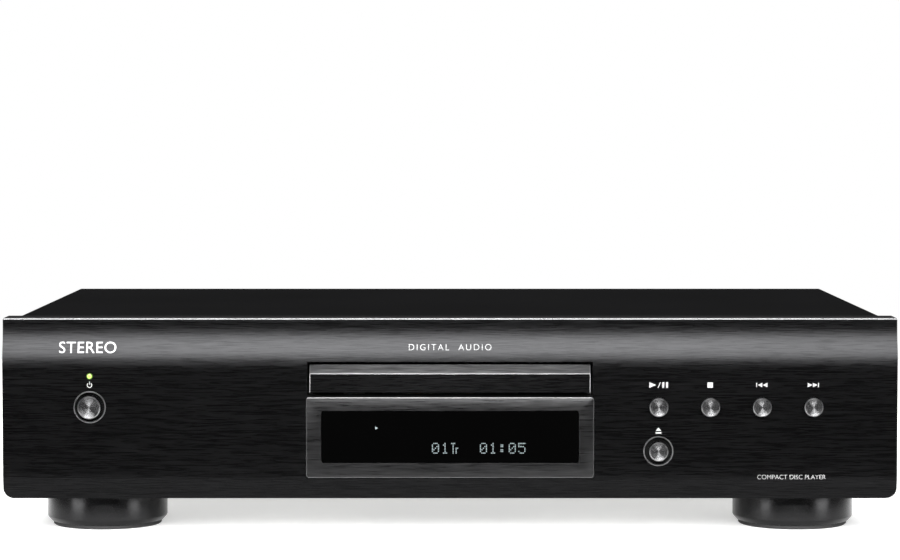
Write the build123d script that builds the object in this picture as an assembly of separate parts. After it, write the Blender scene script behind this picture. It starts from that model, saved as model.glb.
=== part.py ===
from build123d import *
import math
import os

# Full-width disc player. Millimetres, +Z up, the front panel faces -Y,
# origin under the middle of the case on the surface that it stands on.

# ---- overall ----
width = 434.0            # front panel, end to end
depth = 275.0            # button caps to the tips of the rear jacks
height = 107.0           # feet included
cap_proud = 3.5          # button caps in front of the panel's face
jack_proud = 10.5        # jack barrels behind the case

# ---- fits and clearances ----
touch = 0.1              # assembly gap between fixed pieces
slip = 0.3               # gap between a moving piece and what it passes
running = 0.05           # radial clearance of a shaft in its bore
backlash = 0.12          # taken off the thickness of each gear tooth
gear_gap = 1.36          # drive wheel's tip to the loader's front and to the traverse

# ---- front panel ----
panel_bottom = 18.9
panel_depth = 18.0
panel_wall = 3.2
panel_end_wall = 3.5
panel_top_wall = 3.5
panel_floor_wall = 3.0
chin_radius = 24.0       # roll-under of the lower edge
chin_drop = 12.1         # height that the roll-under takes up
brow_recess = 3.2        # how far the upper edge steps back
brow_rise = 22.0         # height of the S-shaped step
brow_top = 3.0           # plain band above the step
lower_corner = 5.0
upper_corner = 1.0

# ---- case ----
sheet = 1.2
cover_sheet = 1.0
cover_inset = 4.0        # cover narrower than the panel, each side
cover_drop = 0.8         # cover lower than the panel's top
cover_bend = 2.0
floor_z = 20.0
flange_height = 12.0
rear_lip = 12.0

# ---- feet ----
foot_diameter = 60.0
foot_inset_x = 44.4      # centre to the end of the panel
foot_setback = 55.0      # front foot's centre behind the panel's face
foot_rear_inset = 42.0
pad_thickness = 2.6
pad_proud = 2.0
pad_radius = 28.5
pad_hole = 21.0

# ---- display and tray opening ----
slot_width = 138.6
slot_height = 17.2
slot_bottom = 68.5
door_side_gap = 1.2
door_bottom_gap = 2.1
door_top_gap = 1.5
door_thickness = 6.0
door_recess = 0.3
bezel_width = 139.7
bezel_height = 39.3
bezel_gap = 0.3
bezel_corner = 1.4
window_width = 125.1
window_height = 25.4
window_corner = 1.1
window_sill = 7.3        # bezel's lower edge to the window
window_recess = 0.4

# ---- buttons ----
button_travel = 0.8
transport_edge = 40.9    # next button's centre to the end of the panel
transport_pitch = 25.0
transport_z = 63.8
transport_diameter = 9.2
eject_z = 42.3
eject_diameter = 9.3
eject_ring_diameter = 14.6
power_edge = 42.3
power_z = 63.7
power_diameter = 11.15
power_ring_diameter = 15.6
ring_line = 0.6
ring_depth = 1.5
lamp_z = 78.7
lamp_diameter = 2.9
stem_radius = 3.0
flange_thickness = 1.5

# ---- disc loader ----
tray_travel = 140.0
tray_well_radius = 61.0
small_well_radius = 41.0
tray_side_gap = 4.8      # tray's side to the side of the opening
rail_width = 2.5
tray_slot_half = 20.0
tray_tail = 100.0        # well's centre to the tray's rear edge
tray_lead = 75.7         # well's centre to the tray's front edge
traverse_half = 34.0     # half the lifting frame's width
tray_top_gap = 4.2       # tray's top below the top of the slot
tray_thickness = 5.5
well_depth = 3.5
frame_wall = 3.8
frame_floor = 2.0
frame_drop = 29.5        # loader floor's underside below the tray's top
frame_front_gap = 4.0    # behind the panel's rear edge
frame_tail = 14.0        # frame beyond the closed tray
lift_angle = 3.6
pivot_setback = 96.0     # spindle to the lifting frame's pivot
pivot_radius = 2.0
cam_stroke = 14.0
cam_pin_radius = 1.5
puck_radius = 15.0
hub_radius = 7.4
sled_travel = 36.0
lens_start = 23.0        # spindle to the lens, innermost track
lens_radius = 4.0
rod_radius = 1.5
rod_spread = 15.5
axle_radius = 1.5
pressure_angle = math.radians(20)

# ---- gears ----
tray_module = 1.0
tray_pinion_teeth = 16
train_module = 0.8
wheel_teeth = 30
pulley_pinion_teeth = 12
sled_pinion_teeth = 12
sled_wheel_teeth = 24
sled_motor_teeth = 14
tooth_addendum = 0.8
rack_addendum = 0.7
tooth_dedendum = 1.15
belt_thickness = 1.2
pulley_groove_radius = 11.0
motor_groove_radius = 3.0
belt_span = 41.2         # pulley centre to motor centre

# ---- electronics ----
board_thickness = 1.6
board_gap = 8.0
board_edge = 6.0
core_width = 60.0
core_height = 50.0
core_depth = 32.0
core_limb = 10.0
core_inset = 22.0        # core to the cover's side
jack_radius = 4.15
jack_base_radius = 4.8
jack_z = 62.0
jack_pitch = 16.0
inlet_width = 28.0
inlet_height = 21.0
inlet_z = 46.0
screw_radius = 1.5
screw_head_radius = 3.0
screw_head_height = 2.0
foot_screw_radius = 2.0
foot_screw_head = 4.0

# ---- worked out from the above ----
half_width = width / 2
face_y = -depth / 2 + cap_proud
back_y = face_y + panel_depth
case_y = depth / 2 - jack_proud
cap_y = face_y - cap_proud
panel_inner_y = face_y + panel_wall
panel_top = height
cover_half = half_width - cover_inset
cover_top = height - cover_drop
cover_front_y = back_y + touch
rear_panel_y = case_y - cover_sheet - sheet
chassis_half = cover_half - cover_sheet - touch
floor_top = floor_z + sheet
slot_top = slot_bottom + slot_height
slot_half = slot_width / 2
tray_half = slot_half - tray_side_gap
bezel_bottom = slot_bottom - bezel_height
window_bottom = bezel_bottom + window_sill
door_rear_y = face_y + door_recess + door_thickness
tray_front_y = door_rear_y
spindle_y = tray_front_y + tray_lead
tray_rear_y = spindle_y + tray_tail
tray_top = slot_top - tray_top_gap
tray_base = tray_top - tray_thickness
well_floor = tray_top - well_depth
rail_half = tray_half + rail_width
rail_top = tray_base - 1.5
rail_bottom = rail_top - 2.5
guide_half = rail_half + 1.2
loader_half = guide_half + frame_wall
loader_floor = tray_top - frame_drop
loader_floor_top = loader_floor + frame_floor
loader_front_y = back_y + frame_front_gap
loader_rear_y = tray_rear_y + frame_tail
loader_top = tray_top + 2.5
disc_plane = well_floor + 1.5
traverse_z = tray_top - 15.5
traverse_top = traverse_z + 1.5
pivot_y = spindle_y + pivot_setback
pivot_z = traverse_z + 0.75
wheel_reach = train_module * (wheel_teeth / 2 + tooth_addendum) + gear_gap
gear_x = -(traverse_half + wheel_reach)
drive_y = loader_front_y + wheel_reach
pulley_y = drive_y + train_module * (wheel_teeth + pulley_pinion_teeth) / 2
motor_y = pulley_y + belt_span
cam_y = spindle_y - 43.0
cam_pin_y = cam_y + 1.5
cam_drop = (pivot_y - cam_pin_y) * math.sin(math.radians(lift_angle))
lens_y = spindle_y + lens_start
sled_rack_x = 21.8
sled_rack_back = 18.1
sled_gear_x = sled_rack_x + train_module * sled_pinion_teeth / 2
sled_gear_y = lens_y + 19.0
sled_motor_y = sled_gear_y + train_module * (sled_wheel_teeth + sled_motor_teeth) / 2
switch_board_y = back_y + 1.6
plate_y = face_y + 12.0
plate_thickness = 2.0
stem_end_y = switch_board_y - 3.1 - 0.1 - button_travel
foot_x = half_width - foot_inset_x
foot_front_y = face_y + foot_setback
foot_rear_y = case_y - foot_rear_inset
transport_x = [half_width - transport_edge - transport_pitch * n for n in (3, 2, 1, 0)]
eject_x = transport_x[0]
power_x = -(half_width - power_edge)
main_board_left = loader_half + 8.0
main_board_right = chassis_half - sheet - board_edge
main_board_rear = rear_panel_y - 3.0
main_board_front = cover_front_y + 20.0
main_board_z = floor_top + board_gap
main_board_top = main_board_z + board_thickness
core_x = -(cover_half - core_inset - core_width / 2)
core_y = case_y - 70.0
jack_x = main_board_left + 16.0
optical_x = jack_x + 3 * jack_pitch
inlet_x = core_x


# ---- small shape helpers ----
def block(x0, x1, y0, y1, z0, z1):
    """Box between two corners."""
    return Pos((x0 + x1) / 2, (y0 + y1) / 2, (z0 + z1) / 2) * Box(x1 - x0, y1 - y0, z1 - z0)


def disc_z(x, y, z0, z1, radius):
    """Upright cylinder."""
    return Pos(x, y, (z0 + z1) / 2) * Cylinder(radius, z1 - z0)


def disc_y(x, z, y0, y1, radius):
    """Cylinder lying along Y."""
    return Pos(x, (y0 + y1) / 2, z) * Rot(90, 0, 0) * Cylinder(radius, y1 - y0)


def disc_x(y, z, x0, x1, radius):
    """Cylinder lying along X."""
    return Pos((x0 + x1) / 2, y, z) * Rot(0, 90, 0) * Cylinder(radius, x1 - x0)


def plate_xz(x0, x1, z0, z1, y0, y1, radius):
    """Upright plate with rounded corners, facing the front."""
    outline = RectangleRounded(x1 - x0, z1 - z0, radius)
    solid = extrude(outline, y1 - y0)
    return Pos((x0 + x1) / 2, y1, (z0 + z1) / 2) * Rot(90, 0, 0) * solid


def screw_down(x, y, z_under_head, length, radius=screw_radius, head=screw_head_radius):
    """Pan-head screw pointing down, with a drive recess."""
    shank = disc_z(x, y, z_under_head - length, z_under_head, radius)
    cap = disc_z(x, y, z_under_head, z_under_head + screw_head_height, head)
    recess = block(x - head * 0.6, x + head * 0.6, y - 0.4, y + 0.4,
                   z_under_head + 1.0, z_under_head + screw_head_height)
    return shank + cap - recess


def screw_along_y(x, z, y_under_head, length, direction=-1):
    """Pan-head screw whose shank points along direction on the Y axis."""
    tip = y_under_head + direction * length
    top = y_under_head - direction * screw_head_height
    shank = disc_y(x, z, min(tip, y_under_head), max(tip, y_under_head), screw_radius)
    cap = disc_y(x, z, min(top, y_under_head), max(top, y_under_head), screw_head_radius)
    middle = (top + y_under_head) / 2
    recess = block(x - 1.8, x + 1.8, min(top, middle), max(top, middle), z - 0.4, z + 0.4)
    return shank + cap - recess


def screw_along_x(y, z, x_under_head, length, direction):
    """Pan-head screw whose shank points along direction on the X axis."""
    tip = x_under_head + direction * length
    top = x_under_head - direction * screw_head_height
    shank = disc_x(y, z, min(tip, x_under_head), max(tip, x_under_head), screw_radius)
    cap = disc_x(y, z, min(top, x_under_head), max(top, x_under_head), screw_head_radius)
    middle = (top + x_under_head) / 2
    recess = block(min(top, middle), max(top, middle), y - 1.8, y + 1.8, z - 0.4, z + 0.4)
    return shank + cap - recess


def group(shapes):
    """Separate solids that share one node."""
    return Compound(children=[solid for shape in shapes for solid in shape.solids()])


# ---- gears and racks ----
def involute(base, radius):
    """Angle of the involute of a base circle where it meets a radius."""
    roll = math.sqrt(max((radius / base) ** 2 - 1, 0))
    return roll - math.atan(roll)


def gear(module, teeth, z0, z1, phase):
    """Spur gear about the Z axis, with a tooth centred at phase degrees."""
    pitch = module * teeth / 2
    base = pitch * math.cos(pressure_angle)
    tip = pitch + tooth_addendum * module
    root = pitch - tooth_dedendum * module
    half_tooth = (math.pi * module / 2 - backlash) / (2 * pitch) + involute(base, pitch)
    start = max(base, root)
    flank = [start + (tip - start) * n / 4 for n in range(5)]
    outline = []
    for tooth in range(teeth):
        centre = math.radians(phase) + tooth * 2 * math.pi / teeth
        left = [(radius, centre - half_tooth + involute(base, radius)) for radius in flank]
        right = [(radius, centre + half_tooth - involute(base, radius)) for radius in reversed(flank)]
        profile = left + right
        if root < base:
            profile = [(root, left[0][1])] + profile + [(root, right[-1][1])]
        outline += [(radius * math.cos(angle), radius * math.sin(angle)) for radius, angle in profile]
    face = make_face(Polyline(*outline, close=True))
    return Pos(0, 0, z0) * extrude(face, z1 - z0)


def rack(module, pitch_x, mesh_y, first, last, back_x, z0, z1):
    """Rack along Y whose teeth face +X, with a tooth at mesh_y."""
    pitch = math.pi * module
    tip_x = pitch_x + rack_addendum * module
    root_x = pitch_x - tooth_dedendum * module
    half = (pitch / 2 - backlash) / 2
    lean = math.tan(pressure_angle)
    tip_half = half - rack_addendum * module * lean
    root_half = half + tooth_dedendum * module * lean
    outline = [(back_x, mesh_y + (first - 0.5) * pitch), (root_x, mesh_y + (first - 0.5) * pitch)]
    for number in range(first, last + 1):
        y = mesh_y + number * pitch
        outline += [(root_x, y - root_half), (tip_x, y - tip_half), (tip_x, y + tip_half), (root_x, y + root_half)]
    outline += [(root_x, mesh_y + (last + 0.5) * pitch), (back_x, mesh_y + (last + 0.5) * pitch)]
    face = make_face(Polyline(*outline, close=True))
    return Pos(0, 0, z0) * extrude(face, z1 - z0)


# ---- front ----
def panel_section():
    """Section of the panel in depth and height: rolled chin, flat face, stepped brow.

    It runs on below the panel's lower edge, where the silhouette cuts it off.
    """
    chin_z = panel_bottom + chin_drop
    chin_rise = chin_drop + 0.5
    chin_back = chin_radius - math.sqrt(chin_radius ** 2 - chin_rise ** 2)
    brow_z = panel_top - brow_top - brow_rise
    half_rise = brow_rise / 2
    half_recess = brow_recess / 2
    brow_radius = (half_rise ** 2 + half_recess ** 2) / (2 * half_recess)
    lean = math.asin(half_rise / brow_radius) / 2

    def depth_height(y, z):
        return Vector(0, face_y + y, z)

    chin_mid = math.asin(chin_rise / chin_radius) / 2
    chin = ThreePointArc(
        depth_height(chin_back, chin_z - chin_rise),
        depth_height(chin_radius * (1 - math.cos(chin_mid)), chin_z - chin_radius * math.sin(chin_mid)),
        depth_height(0, chin_z))
    face = Line(depth_height(0, chin_z), depth_height(0, brow_z))
    lower_brow = ThreePointArc(
        depth_height(0, brow_z),
        depth_height(brow_radius * (1 - math.cos(lean)), brow_z + brow_radius * math.sin(lean)),
        depth_height(half_recess, brow_z + half_rise))
    upper_brow = ThreePointArc(
        depth_height(half_recess, brow_z + half_rise),
        depth_height(brow_recess - brow_radius * (1 - math.cos(lean)),
                     brow_z + brow_rise - brow_radius * math.sin(lean)),
        depth_height(brow_recess, brow_z + brow_rise))
    rest = Polyline(
        depth_height(brow_recess, brow_z + brow_rise),
        depth_height(brow_recess, panel_top - upper_corner),
        depth_height(brow_recess + upper_corner, panel_top),
        depth_height(panel_depth, panel_top),
        depth_height(panel_depth, chin_z - chin_rise),
        depth_height(chin_back, chin_z - chin_rise))
    return make_face(Wire([*chin.edges(), *face.edges(), *lower_brow.edges(), *upper_brow.edges(),
                           *rest.edges()]))


def front_panel():
    """Extruded panel with a curved chin and brow, hollow behind, open for the display and tray."""
    body = extrude(panel_section(), half_width, dir=(1, 0, 0), both=True)
    middle_z = (panel_bottom + panel_top) / 2
    silhouette = (plate_xz(-half_width, half_width, middle_z - 20, panel_top, face_y - 1, back_y + 1, upper_corner)
                  + plate_xz(-half_width, half_width, panel_bottom, middle_z + 20, face_y - 1, back_y + 1,
                             lower_corner))
    body = body & silhouette
    pocket_half = half_width - panel_end_wall
    body -= block(-pocket_half, pocket_half, panel_inner_y, back_y,
                  panel_bottom + panel_floor_wall, slot_top + 2.5)
    body -= block(-pocket_half, pocket_half, face_y + brow_recess + panel_wall, back_y,
                  slot_top + 2.5, panel_top - panel_top_wall)
    body -= block(-slot_half, slot_half, face_y - 1, back_y, slot_bottom, slot_top)
    opening_half = bezel_width / 2 + bezel_gap
    body -= (plate_xz(-opening_half, opening_half, bezel_bottom - bezel_gap, slot_bottom + bezel_height,
                      face_y - 1, back_y, bezel_corner + bezel_gap)
             & block(-width, width, face_y - 2, back_y + 1, 0, slot_bottom))
    for x in transport_x:
        body -= disc_y(x, transport_z, face_y - 1, back_y, transport_diameter / 2 + slip)
    for x, z, ring in ((power_x, power_z, power_ring_diameter), (eject_x, eject_z, eject_ring_diameter)):
        body -= disc_y(x, z, face_y - 1, back_y, ring / 2 - ring_line)
        body -= disc_y(x, z, face_y - 1, face_y + ring_depth, ring / 2)
    body -= disc_y(power_x, lamp_z, face_y - 1, back_y, lamp_diameter / 2)
    return body


def trim_ring(x, z, diameter):
    """Thin bright ring let into the panel around a button."""
    return (disc_y(x, z, face_y - 0.3, face_y + ring_depth, diameter / 2)
            - disc_y(x, z, face_y - 1, face_y + ring_depth + 1, diameter / 2 - ring_line))


def display_bezel():
    """Flat frame around the display window."""
    half = bezel_width / 2
    body = plate_xz(-half, half, bezel_bottom, slot_bottom, face_y, panel_inner_y, bezel_corner)
    return body - plate_xz(-window_width / 2, window_width / 2, window_bottom, window_bottom + window_height,
                           face_y - 1, panel_inner_y + 1, window_corner)


def display_window():
    """Tinted window seated in the bezel."""
    half = window_width / 2 - touch
    return plate_xz(-half, half, window_bottom + touch, window_bottom + window_height - touch,
                    face_y + window_recess, panel_inner_y, window_corner)


def display_module():
    """Glass display with its metal edge frame and pins' carrier."""
    half = window_width / 2 - 5
    z0 = window_bottom + 1
    z1 = window_bottom + window_height - 1
    glass = block(-half, half, panel_inner_y + 2.1, panel_inner_y + 5.0, z0, z1)
    carrier = block(-half - 2, half + 2, panel_inner_y + 5.0, plate_y - touch, z0 - 1, z1 + 1)
    return glass + carrier


def power_lamp():
    """Round lamp lens with a domed end."""
    lens = disc_y(power_x, lamp_z, face_y - 0.5, panel_inner_y + 3, lamp_diameter / 2 - 0.02)
    return chamfer(lens.edges().group_by(Axis.Y)[0], 0.3)


def button(x, z, diameter, collar_radius):
    """Push button: turned cap, retaining collar and stem."""
    cap = disc_y(x, z, cap_y, panel_inner_y + 4, diameter / 2)
    cap = chamfer(cap.edges().group_by(Axis.Y)[0], 0.45)
    collar = disc_y(x, z, panel_inner_y + slip, panel_inner_y + slip + flange_thickness, collar_radius)
    stem = disc_y(x, z, panel_inner_y + 3.5, stem_end_y, stem_radius)
    return cap + collar + stem


def button_places():
    """Name, centre and size of every button."""
    names = ("play_pause_button", "stop_button", "previous_button", "next_button")
    collar = transport_diameter / 2 + 1.5
    places = [(name, x, transport_z, transport_diameter, collar) for name, x in zip(names, transport_x)]
    places.append(("eject_button", eject_x, eject_z, eject_diameter, eject_ring_diameter / 2 + slip))
    places.append(("power_button", power_x, power_z, power_diameter, power_ring_diameter / 2 + slip))
    return places


def front_frame():
    """Moulded frame inside the panel: tray tunnel, display surround and button guides."""
    pocket_half = half_width - panel_end_wall - touch
    body = block(-pocket_half, pocket_half, plate_y, plate_y + plate_thickness,
                 panel_bottom + panel_floor_wall + touch, panel_top - panel_top_wall - touch)
    body += block(-slot_half - 5, slot_half + 5, panel_inner_y, panel_inner_y + 1.8,
                  bezel_bottom - 4, slot_top + 2)
    body += block(-slot_half - 2, slot_half + 2, panel_inner_y, back_y + 1, slot_bottom - 2, slot_top + 2)
    body -= block(-slot_half, slot_half, panel_inner_y - 1, back_y + 2, slot_bottom, slot_top)
    body += block(-slot_half - 5, -slot_half - 2, panel_inner_y, plate_y, bezel_bottom - 4, slot_top + 2)
    body += block(slot_half + 2, slot_half + 5, panel_inner_y, plate_y, bezel_bottom - 4, slot_top + 2)
    body -= block(-window_width / 2 + 1, window_width / 2 - 1, panel_inner_y - 1, panel_inner_y + 2,
                  window_bottom + 1, window_bottom + window_height - 1)
    for _, x, z, _, _ in button_places():
        body += disc_y(x, z, plate_y - 4, plate_y, stem_radius + 2)
        body -= disc_y(x, z, plate_y - 5, plate_y + plate_thickness + 1, stem_radius + 2 * running)
    for x, z in board_post_places():
        body += disc_y(x, z, plate_y + plate_thickness, switch_board_y, 3)
    for x in boss_places():
        body += disc_y(x, floor_top + 4.5, plate_y + plate_thickness, cover_front_y, 3)
    return body


def boss_places():
    """Bosses that meet the chassis's front lip, along X."""
    outer = chassis_half - 20
    return (-outer, -outer / 3, outer / 3, outer)


def board_post_places():
    """Posts that carry the front board."""
    left = power_x + 14
    right = transport_x[3] + 12
    return ((power_x - 12, 35), (left, 35), (right, 35), (-slot_half - 12, 35), (slot_half + 12, 35), (right, 52))


def front_board():
    """Circuit board behind the buttons, notched under the tray tunnel."""
    y0 = switch_board_y
    y1 = switch_board_y + board_thickness
    left = power_x - 20
    right = transport_x[3] + 20
    notch = slot_half + 5
    board = block(left, right, y0, y1, 31, slot_bottom - 12)
    board += block(left, -notch, y0, y1, 31, lamp_z + 8)
    board += block(notch, right, y0, y1, 31, transport_z + 10)
    return board


def tact_switches():
    """One small switch behind each button's stem."""
    switches = []
    for _, x, z, _, _ in button_places():
        body = block(x - 3, x + 3, switch_board_y - 2.2, switch_board_y, z - 3, z + 3)
        switches.append(body + disc_y(x, z, switch_board_y - 3.1, switch_board_y - 2.2, 1.7))
    return group(switches)


# ---- case ----
def chassis_base():
    """Folded steel floor with side flanges and a front lip."""
    rear = rear_panel_y
    body = block(-chassis_half, chassis_half, cover_front_y, rear, floor_z, floor_top)
    body += block(-chassis_half, chassis_half, cover_front_y, cover_front_y + sheet, floor_top, floor_top + 8)
    for side in (-1, 1):
        inner = side * (chassis_half - sheet)
        outer = side * chassis_half
        body += block(min(inner, outer), max(inner, outer), cover_front_y, rear, floor_top,
                      floor_top + flange_height)
    for x, y in foot_places():
        body -= disc_z(x, y, floor_z - 1, floor_top + 1, foot_screw_radius + touch)
    for y in vent_rows():
        for x in (-30, 0, 30):
            body -= block(x - 11, x + 11, y - 1.25, y + 1.25, floor_z - 1, floor_top + 1)
    for side in (-1, 1):
        for y in cover_screw_rows():
            body -= disc_x(y, floor_top + 6, min(side * (chassis_half - 2), side * (chassis_half + 1)),
                           max(side * (chassis_half - 2), side * (chassis_half + 1)), screw_radius)
    for x, y, _ in panel_flange_screws():
        body -= disc_z(x, y, floor_z - 1, floor_top + 1, screw_radius)
    return body


def vent_rows():
    """Rows of cooling slots in the floor, under the loader."""
    return [spindle_y - 30 + 8 * row for row in range(8)]


def cover_screw_rows():
    """Places of the cover's side screws, along Y."""
    return (cover_front_y + 40, case_y - 45)


def rear_screw_x():
    """Places of the cover's rear screws, along X."""
    return (-chassis_half + 12, 0, chassis_half - 12)


def rear_panel():
    """Steel rear panel with a foot flange and holes for the sockets."""
    y0 = rear_panel_y
    y1 = rear_panel_y + sheet
    body = block(-chassis_half, chassis_half, y0, y1, floor_z, cover_top - cover_sheet - touch)
    body = chamfer(body.edges().filter_by(Axis.Y).group_by(Axis.Z)[-1], cover_bend)
    body += block(-chassis_half + sheet + 1, chassis_half - sheet - 1, y0 - 11, y0, floor_top, floor_top + sheet)
    for n in range(3):
        body -= disc_y(jack_x + n * jack_pitch, jack_z, y0 - 1, y1 + 1, jack_base_radius + touch)
    body -= block(optical_x - 6.1, optical_x + 6.1, y0 - 1, y1 + 1, jack_z - 5.6, jack_z + 5.6)
    body -= block(inlet_x - inlet_width / 2 - touch, inlet_x + inlet_width / 2 + touch, y0 - 1, y1 + 1,
                  inlet_z - inlet_height / 2 - touch, inlet_z + inlet_height / 2 + touch)
    for x in rear_screw_x():
        body -= disc_y(x, cover_top - rear_lip / 2, y0 - 1, y1 + 1, screw_radius)
    for x, y, _ in panel_flange_screws():
        body -= disc_z(x, y, floor_top - 1, floor_top + sheet + 1, screw_radius)
    return body


def top_cover():
    """Folded steel cover: top, two sides and a short lip over the rear panel."""
    outer = block(-cover_half, cover_half, cover_front_y, case_y, floor_z + 0.3, cover_top)
    outer = fillet(outer.edges().filter_by(Axis.Y).group_by(Axis.Z)[-1], cover_bend)
    inner_half = cover_half - cover_sheet
    hollow = block(-inner_half, inner_half, cover_front_y - 1, case_y - cover_sheet, floor_z - 1,
                   cover_top - cover_sheet)
    hollow = fillet(hollow.edges().filter_by(Axis.Y).group_by(Axis.Z)[-1], cover_bend - cover_sheet)
    body = outer - hollow
    body -= block(-inner_half, inner_half, case_y - 2 * cover_sheet, case_y + 1, floor_z - 1,
                  cover_top - rear_lip)
    for side in (-1, 1):
        for y in cover_screw_rows():
            body -= disc_x(y, floor_top + 6, min(side * inner_half, side * (cover_half + 1)) - 0.5,
                           max(side * inner_half, side * (cover_half + 1)), screw_radius + touch)
    for x in rear_screw_x():
        body -= disc_y(x, cover_top - rear_lip / 2, case_y - 2, case_y + 1, screw_radius + touch)
    return body


def cover_screws():
    """Two screws a side and three through the rear lip."""
    screws = []
    for side in (-1, 1):
        for y in cover_screw_rows():
            screws.append(screw_along_x(y, floor_top + 6, side * cover_half, 5, -side))
    for x in rear_screw_x():
        screws.append(screw_along_y(x, cover_top - rear_lip / 2, case_y, 6))
    return group(screws)


def panel_flange_screws():
    """Screws through the rear panel's foot flange."""
    y = rear_panel_y - 6
    spread = chassis_half - 40
    return [(x, y, floor_top + sheet) for x in (-spread, -spread / 3, spread / 3, spread)]


# ---- feet ----
def foot_places():
    """Centres of the four feet."""
    return ((-foot_x, foot_front_y), (foot_x, foot_front_y), (-foot_x, foot_rear_y), (foot_x, foot_rear_y))


def foot(x, y):
    """Turned foot with a counterbored screw hole and a seat for its pad."""
    body = disc_z(x, y, pad_proud, floor_z, foot_diameter / 2)
    body = chamfer(body.edges().group_by(Axis.Z)[0], 0.8)
    body -= (disc_z(x, y, pad_proud, pad_thickness, pad_radius + touch)
             - disc_z(x, y, pad_proud, pad_thickness, pad_hole - touch))
    body -= disc_z(x, y, pad_proud - 1, floor_z - 6, 12)
    body -= disc_z(x, y, 0, floor_z + 1, foot_screw_radius + touch)
    return body


def foot_pads():
    """Ring-shaped non-slip pads."""
    pads = []
    for x, y in foot_places():
        ring = disc_z(x, y, 0, pad_thickness, pad_radius) - disc_z(x, y, -1, pad_thickness + 1, pad_hole)
        pads.append(ring)
    return group(pads)


def foot_screws():
    """One screw up through each foot into the chassis."""
    screws = []
    for x, y in foot_places():
        shank = disc_z(x, y, floor_z - 6, floor_top + 3, foot_screw_radius)
        head = disc_z(x, y, floor_z - 8.5, floor_z - 6, foot_screw_head)
        recess = block(x - 2.4, x + 2.4, y - 0.5, y + 0.5, floor_z - 9, floor_z - 7.5)
        screws.append(shank + head - recess)
    return group(screws)


# ---- disc loader ----
def loader_frame():
    """Moulded loader: floor, side walls with tray guides, gear axles and pivot blocks."""
    front, rear = loader_front_y, loader_rear_y
    body = block(-loader_half, loader_half, front, rear, loader_floor, loader_floor_top)
    body -= block(-40, 40, cam_y + 5, pivot_y - 8, loader_floor - 1, loader_floor_top + 1)
    for side in (-1, 1):
        inner, outer = sorted((side * guide_half, side * loader_half))
        body += block(inner, outer, front, rear, loader_floor_top, loader_top)
        lip = sorted((side * (tray_half + 0.5), side * (guide_half + 0.5)))
        body += block(lip[0], lip[1], front, rear, rail_bottom - slip - 1.5, rail_bottom - slip)
        for start in (front, (front + rear) / 2 - 10, rear - 40):
            body += block(lip[0], lip[1], start, start + 20, rail_top + slip, rail_top + slip + 1.2)
        block_x = sorted((side * (traverse_half + 2), side * (traverse_half + 7)))
        body += block(block_x[0], block_x[1], pivot_y - 3.5, pivot_y + 3.5, loader_floor_top, pivot_z + 3.5)
        bore_x = sorted((side * (traverse_half + 1), side * (traverse_half + 8)))
        body -= disc_x(pivot_y, pivot_z, bore_x[0], bore_x[1], pivot_radius + running)
    body += block(-guide_half, guide_half, rear - 4, rear, loader_floor_top, rail_bottom - 4)
    body += block(-26, 50, cam_y - 1.9, cam_y - slip, loader_floor_top, loader_floor_top + 2)
    body += block(-26, 50, cam_y + 3 + slip, cam_y + 4.9, loader_floor_top, loader_floor_top + 2)
    body += disc_z(gear_x, drive_y, loader_floor_top, tray_base - 0.9, axle_radius)
    body += disc_z(gear_x, drive_y, loader_floor_top, wheel_z() - 0.2, axle_radius + 1.5)
    body += disc_z(gear_x, pulley_y, loader_floor_top, wheel_z() + 4.6, axle_radius)
    body += disc_z(gear_x, pulley_y, loader_floor_top, pulley_z() - 0.2, axle_radius + 1.5)
    body -= disc_z(gear_x, motor_y, loader_floor - 1, loader_floor_top + 1, 3.2)
    for x, y in loader_mounts():
        body -= disc_z(x, y, loader_floor - 1, loader_floor_top + 1, screw_radius + touch)
    return body


def loader_mounts():
    """Corners where the loader stands on its posts."""
    x = guide_half - 7.2
    return ((-x, loader_front_y + 6), (x, loader_front_y + 6), (-x, loader_rear_y - 9), (x, loader_rear_y - 9))


def wheel_z():
    """Height of the drive gear's wheel."""
    return loader_floor_top + 8.5


def pulley_z():
    """Height of the belt pulleys."""
    return loader_floor_top + 2.0


def disc_tray():
    """Tray with a stepped disc well, a slot for the spindle, side rails and a rack beneath."""
    body = block(-tray_half, tray_half, tray_front_y, tray_rear_y, tray_base, tray_top)
    body -= disc_z(0, spindle_y, well_floor, tray_top + 1, tray_well_radius)
    body -= disc_z(0, spindle_y, well_floor - 1, tray_top, small_well_radius)
    body -= disc_z(0, spindle_y, tray_base - 1, tray_top + 1, tray_slot_half)
    body -= block(-tray_slot_half, tray_slot_half, spindle_y, tray_rear_y + 1, tray_base - 1, tray_top + 1)
    body += block(-tray_half, tray_half, tray_front_y, tray_front_y + 3.5, tray_base - 3, tray_top)
    for side in (-1, 1):
        web = sorted((side * (tray_half - 2), side * tray_half))
        rail = sorted((side * (tray_half - 2), side * rail_half))
        body += block(web[0], web[1], tray_front_y + 3.5, tray_rear_y, rail_bottom, tray_base)
        body += block(rail[0], rail[1], loader_front_y + 2, tray_rear_y, rail_bottom, rail_top)
    body += rack(tray_module, gear_x - tray_module * tray_pinion_teeth / 2, drive_y, -2,
                 int(tray_travel / (math.pi * tray_module)) + 1, gear_x - 13, tray_base - 5, tray_base)
    return body


def tray_door():
    """Tray's front with a bevelled upper edge."""
    half = slot_half - door_side_gap
    z0 = slot_bottom + door_bottom_gap
    z1 = slot_top - door_top_gap
    front = face_y + door_recess
    side = Plane(origin=(-half, 0, 0), x_dir=(0, 1, 0), z_dir=(1, 0, 0))
    outline = Polyline((front, z0), (front, z1 - 4.2), (front + 0.5, z1 - 4.0), (front + 3.0, z1),
                       (door_rear_y, z1), (door_rear_y, z0), close=True)
    body = extrude(side * make_face(outline), 2 * half)
    return body


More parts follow.
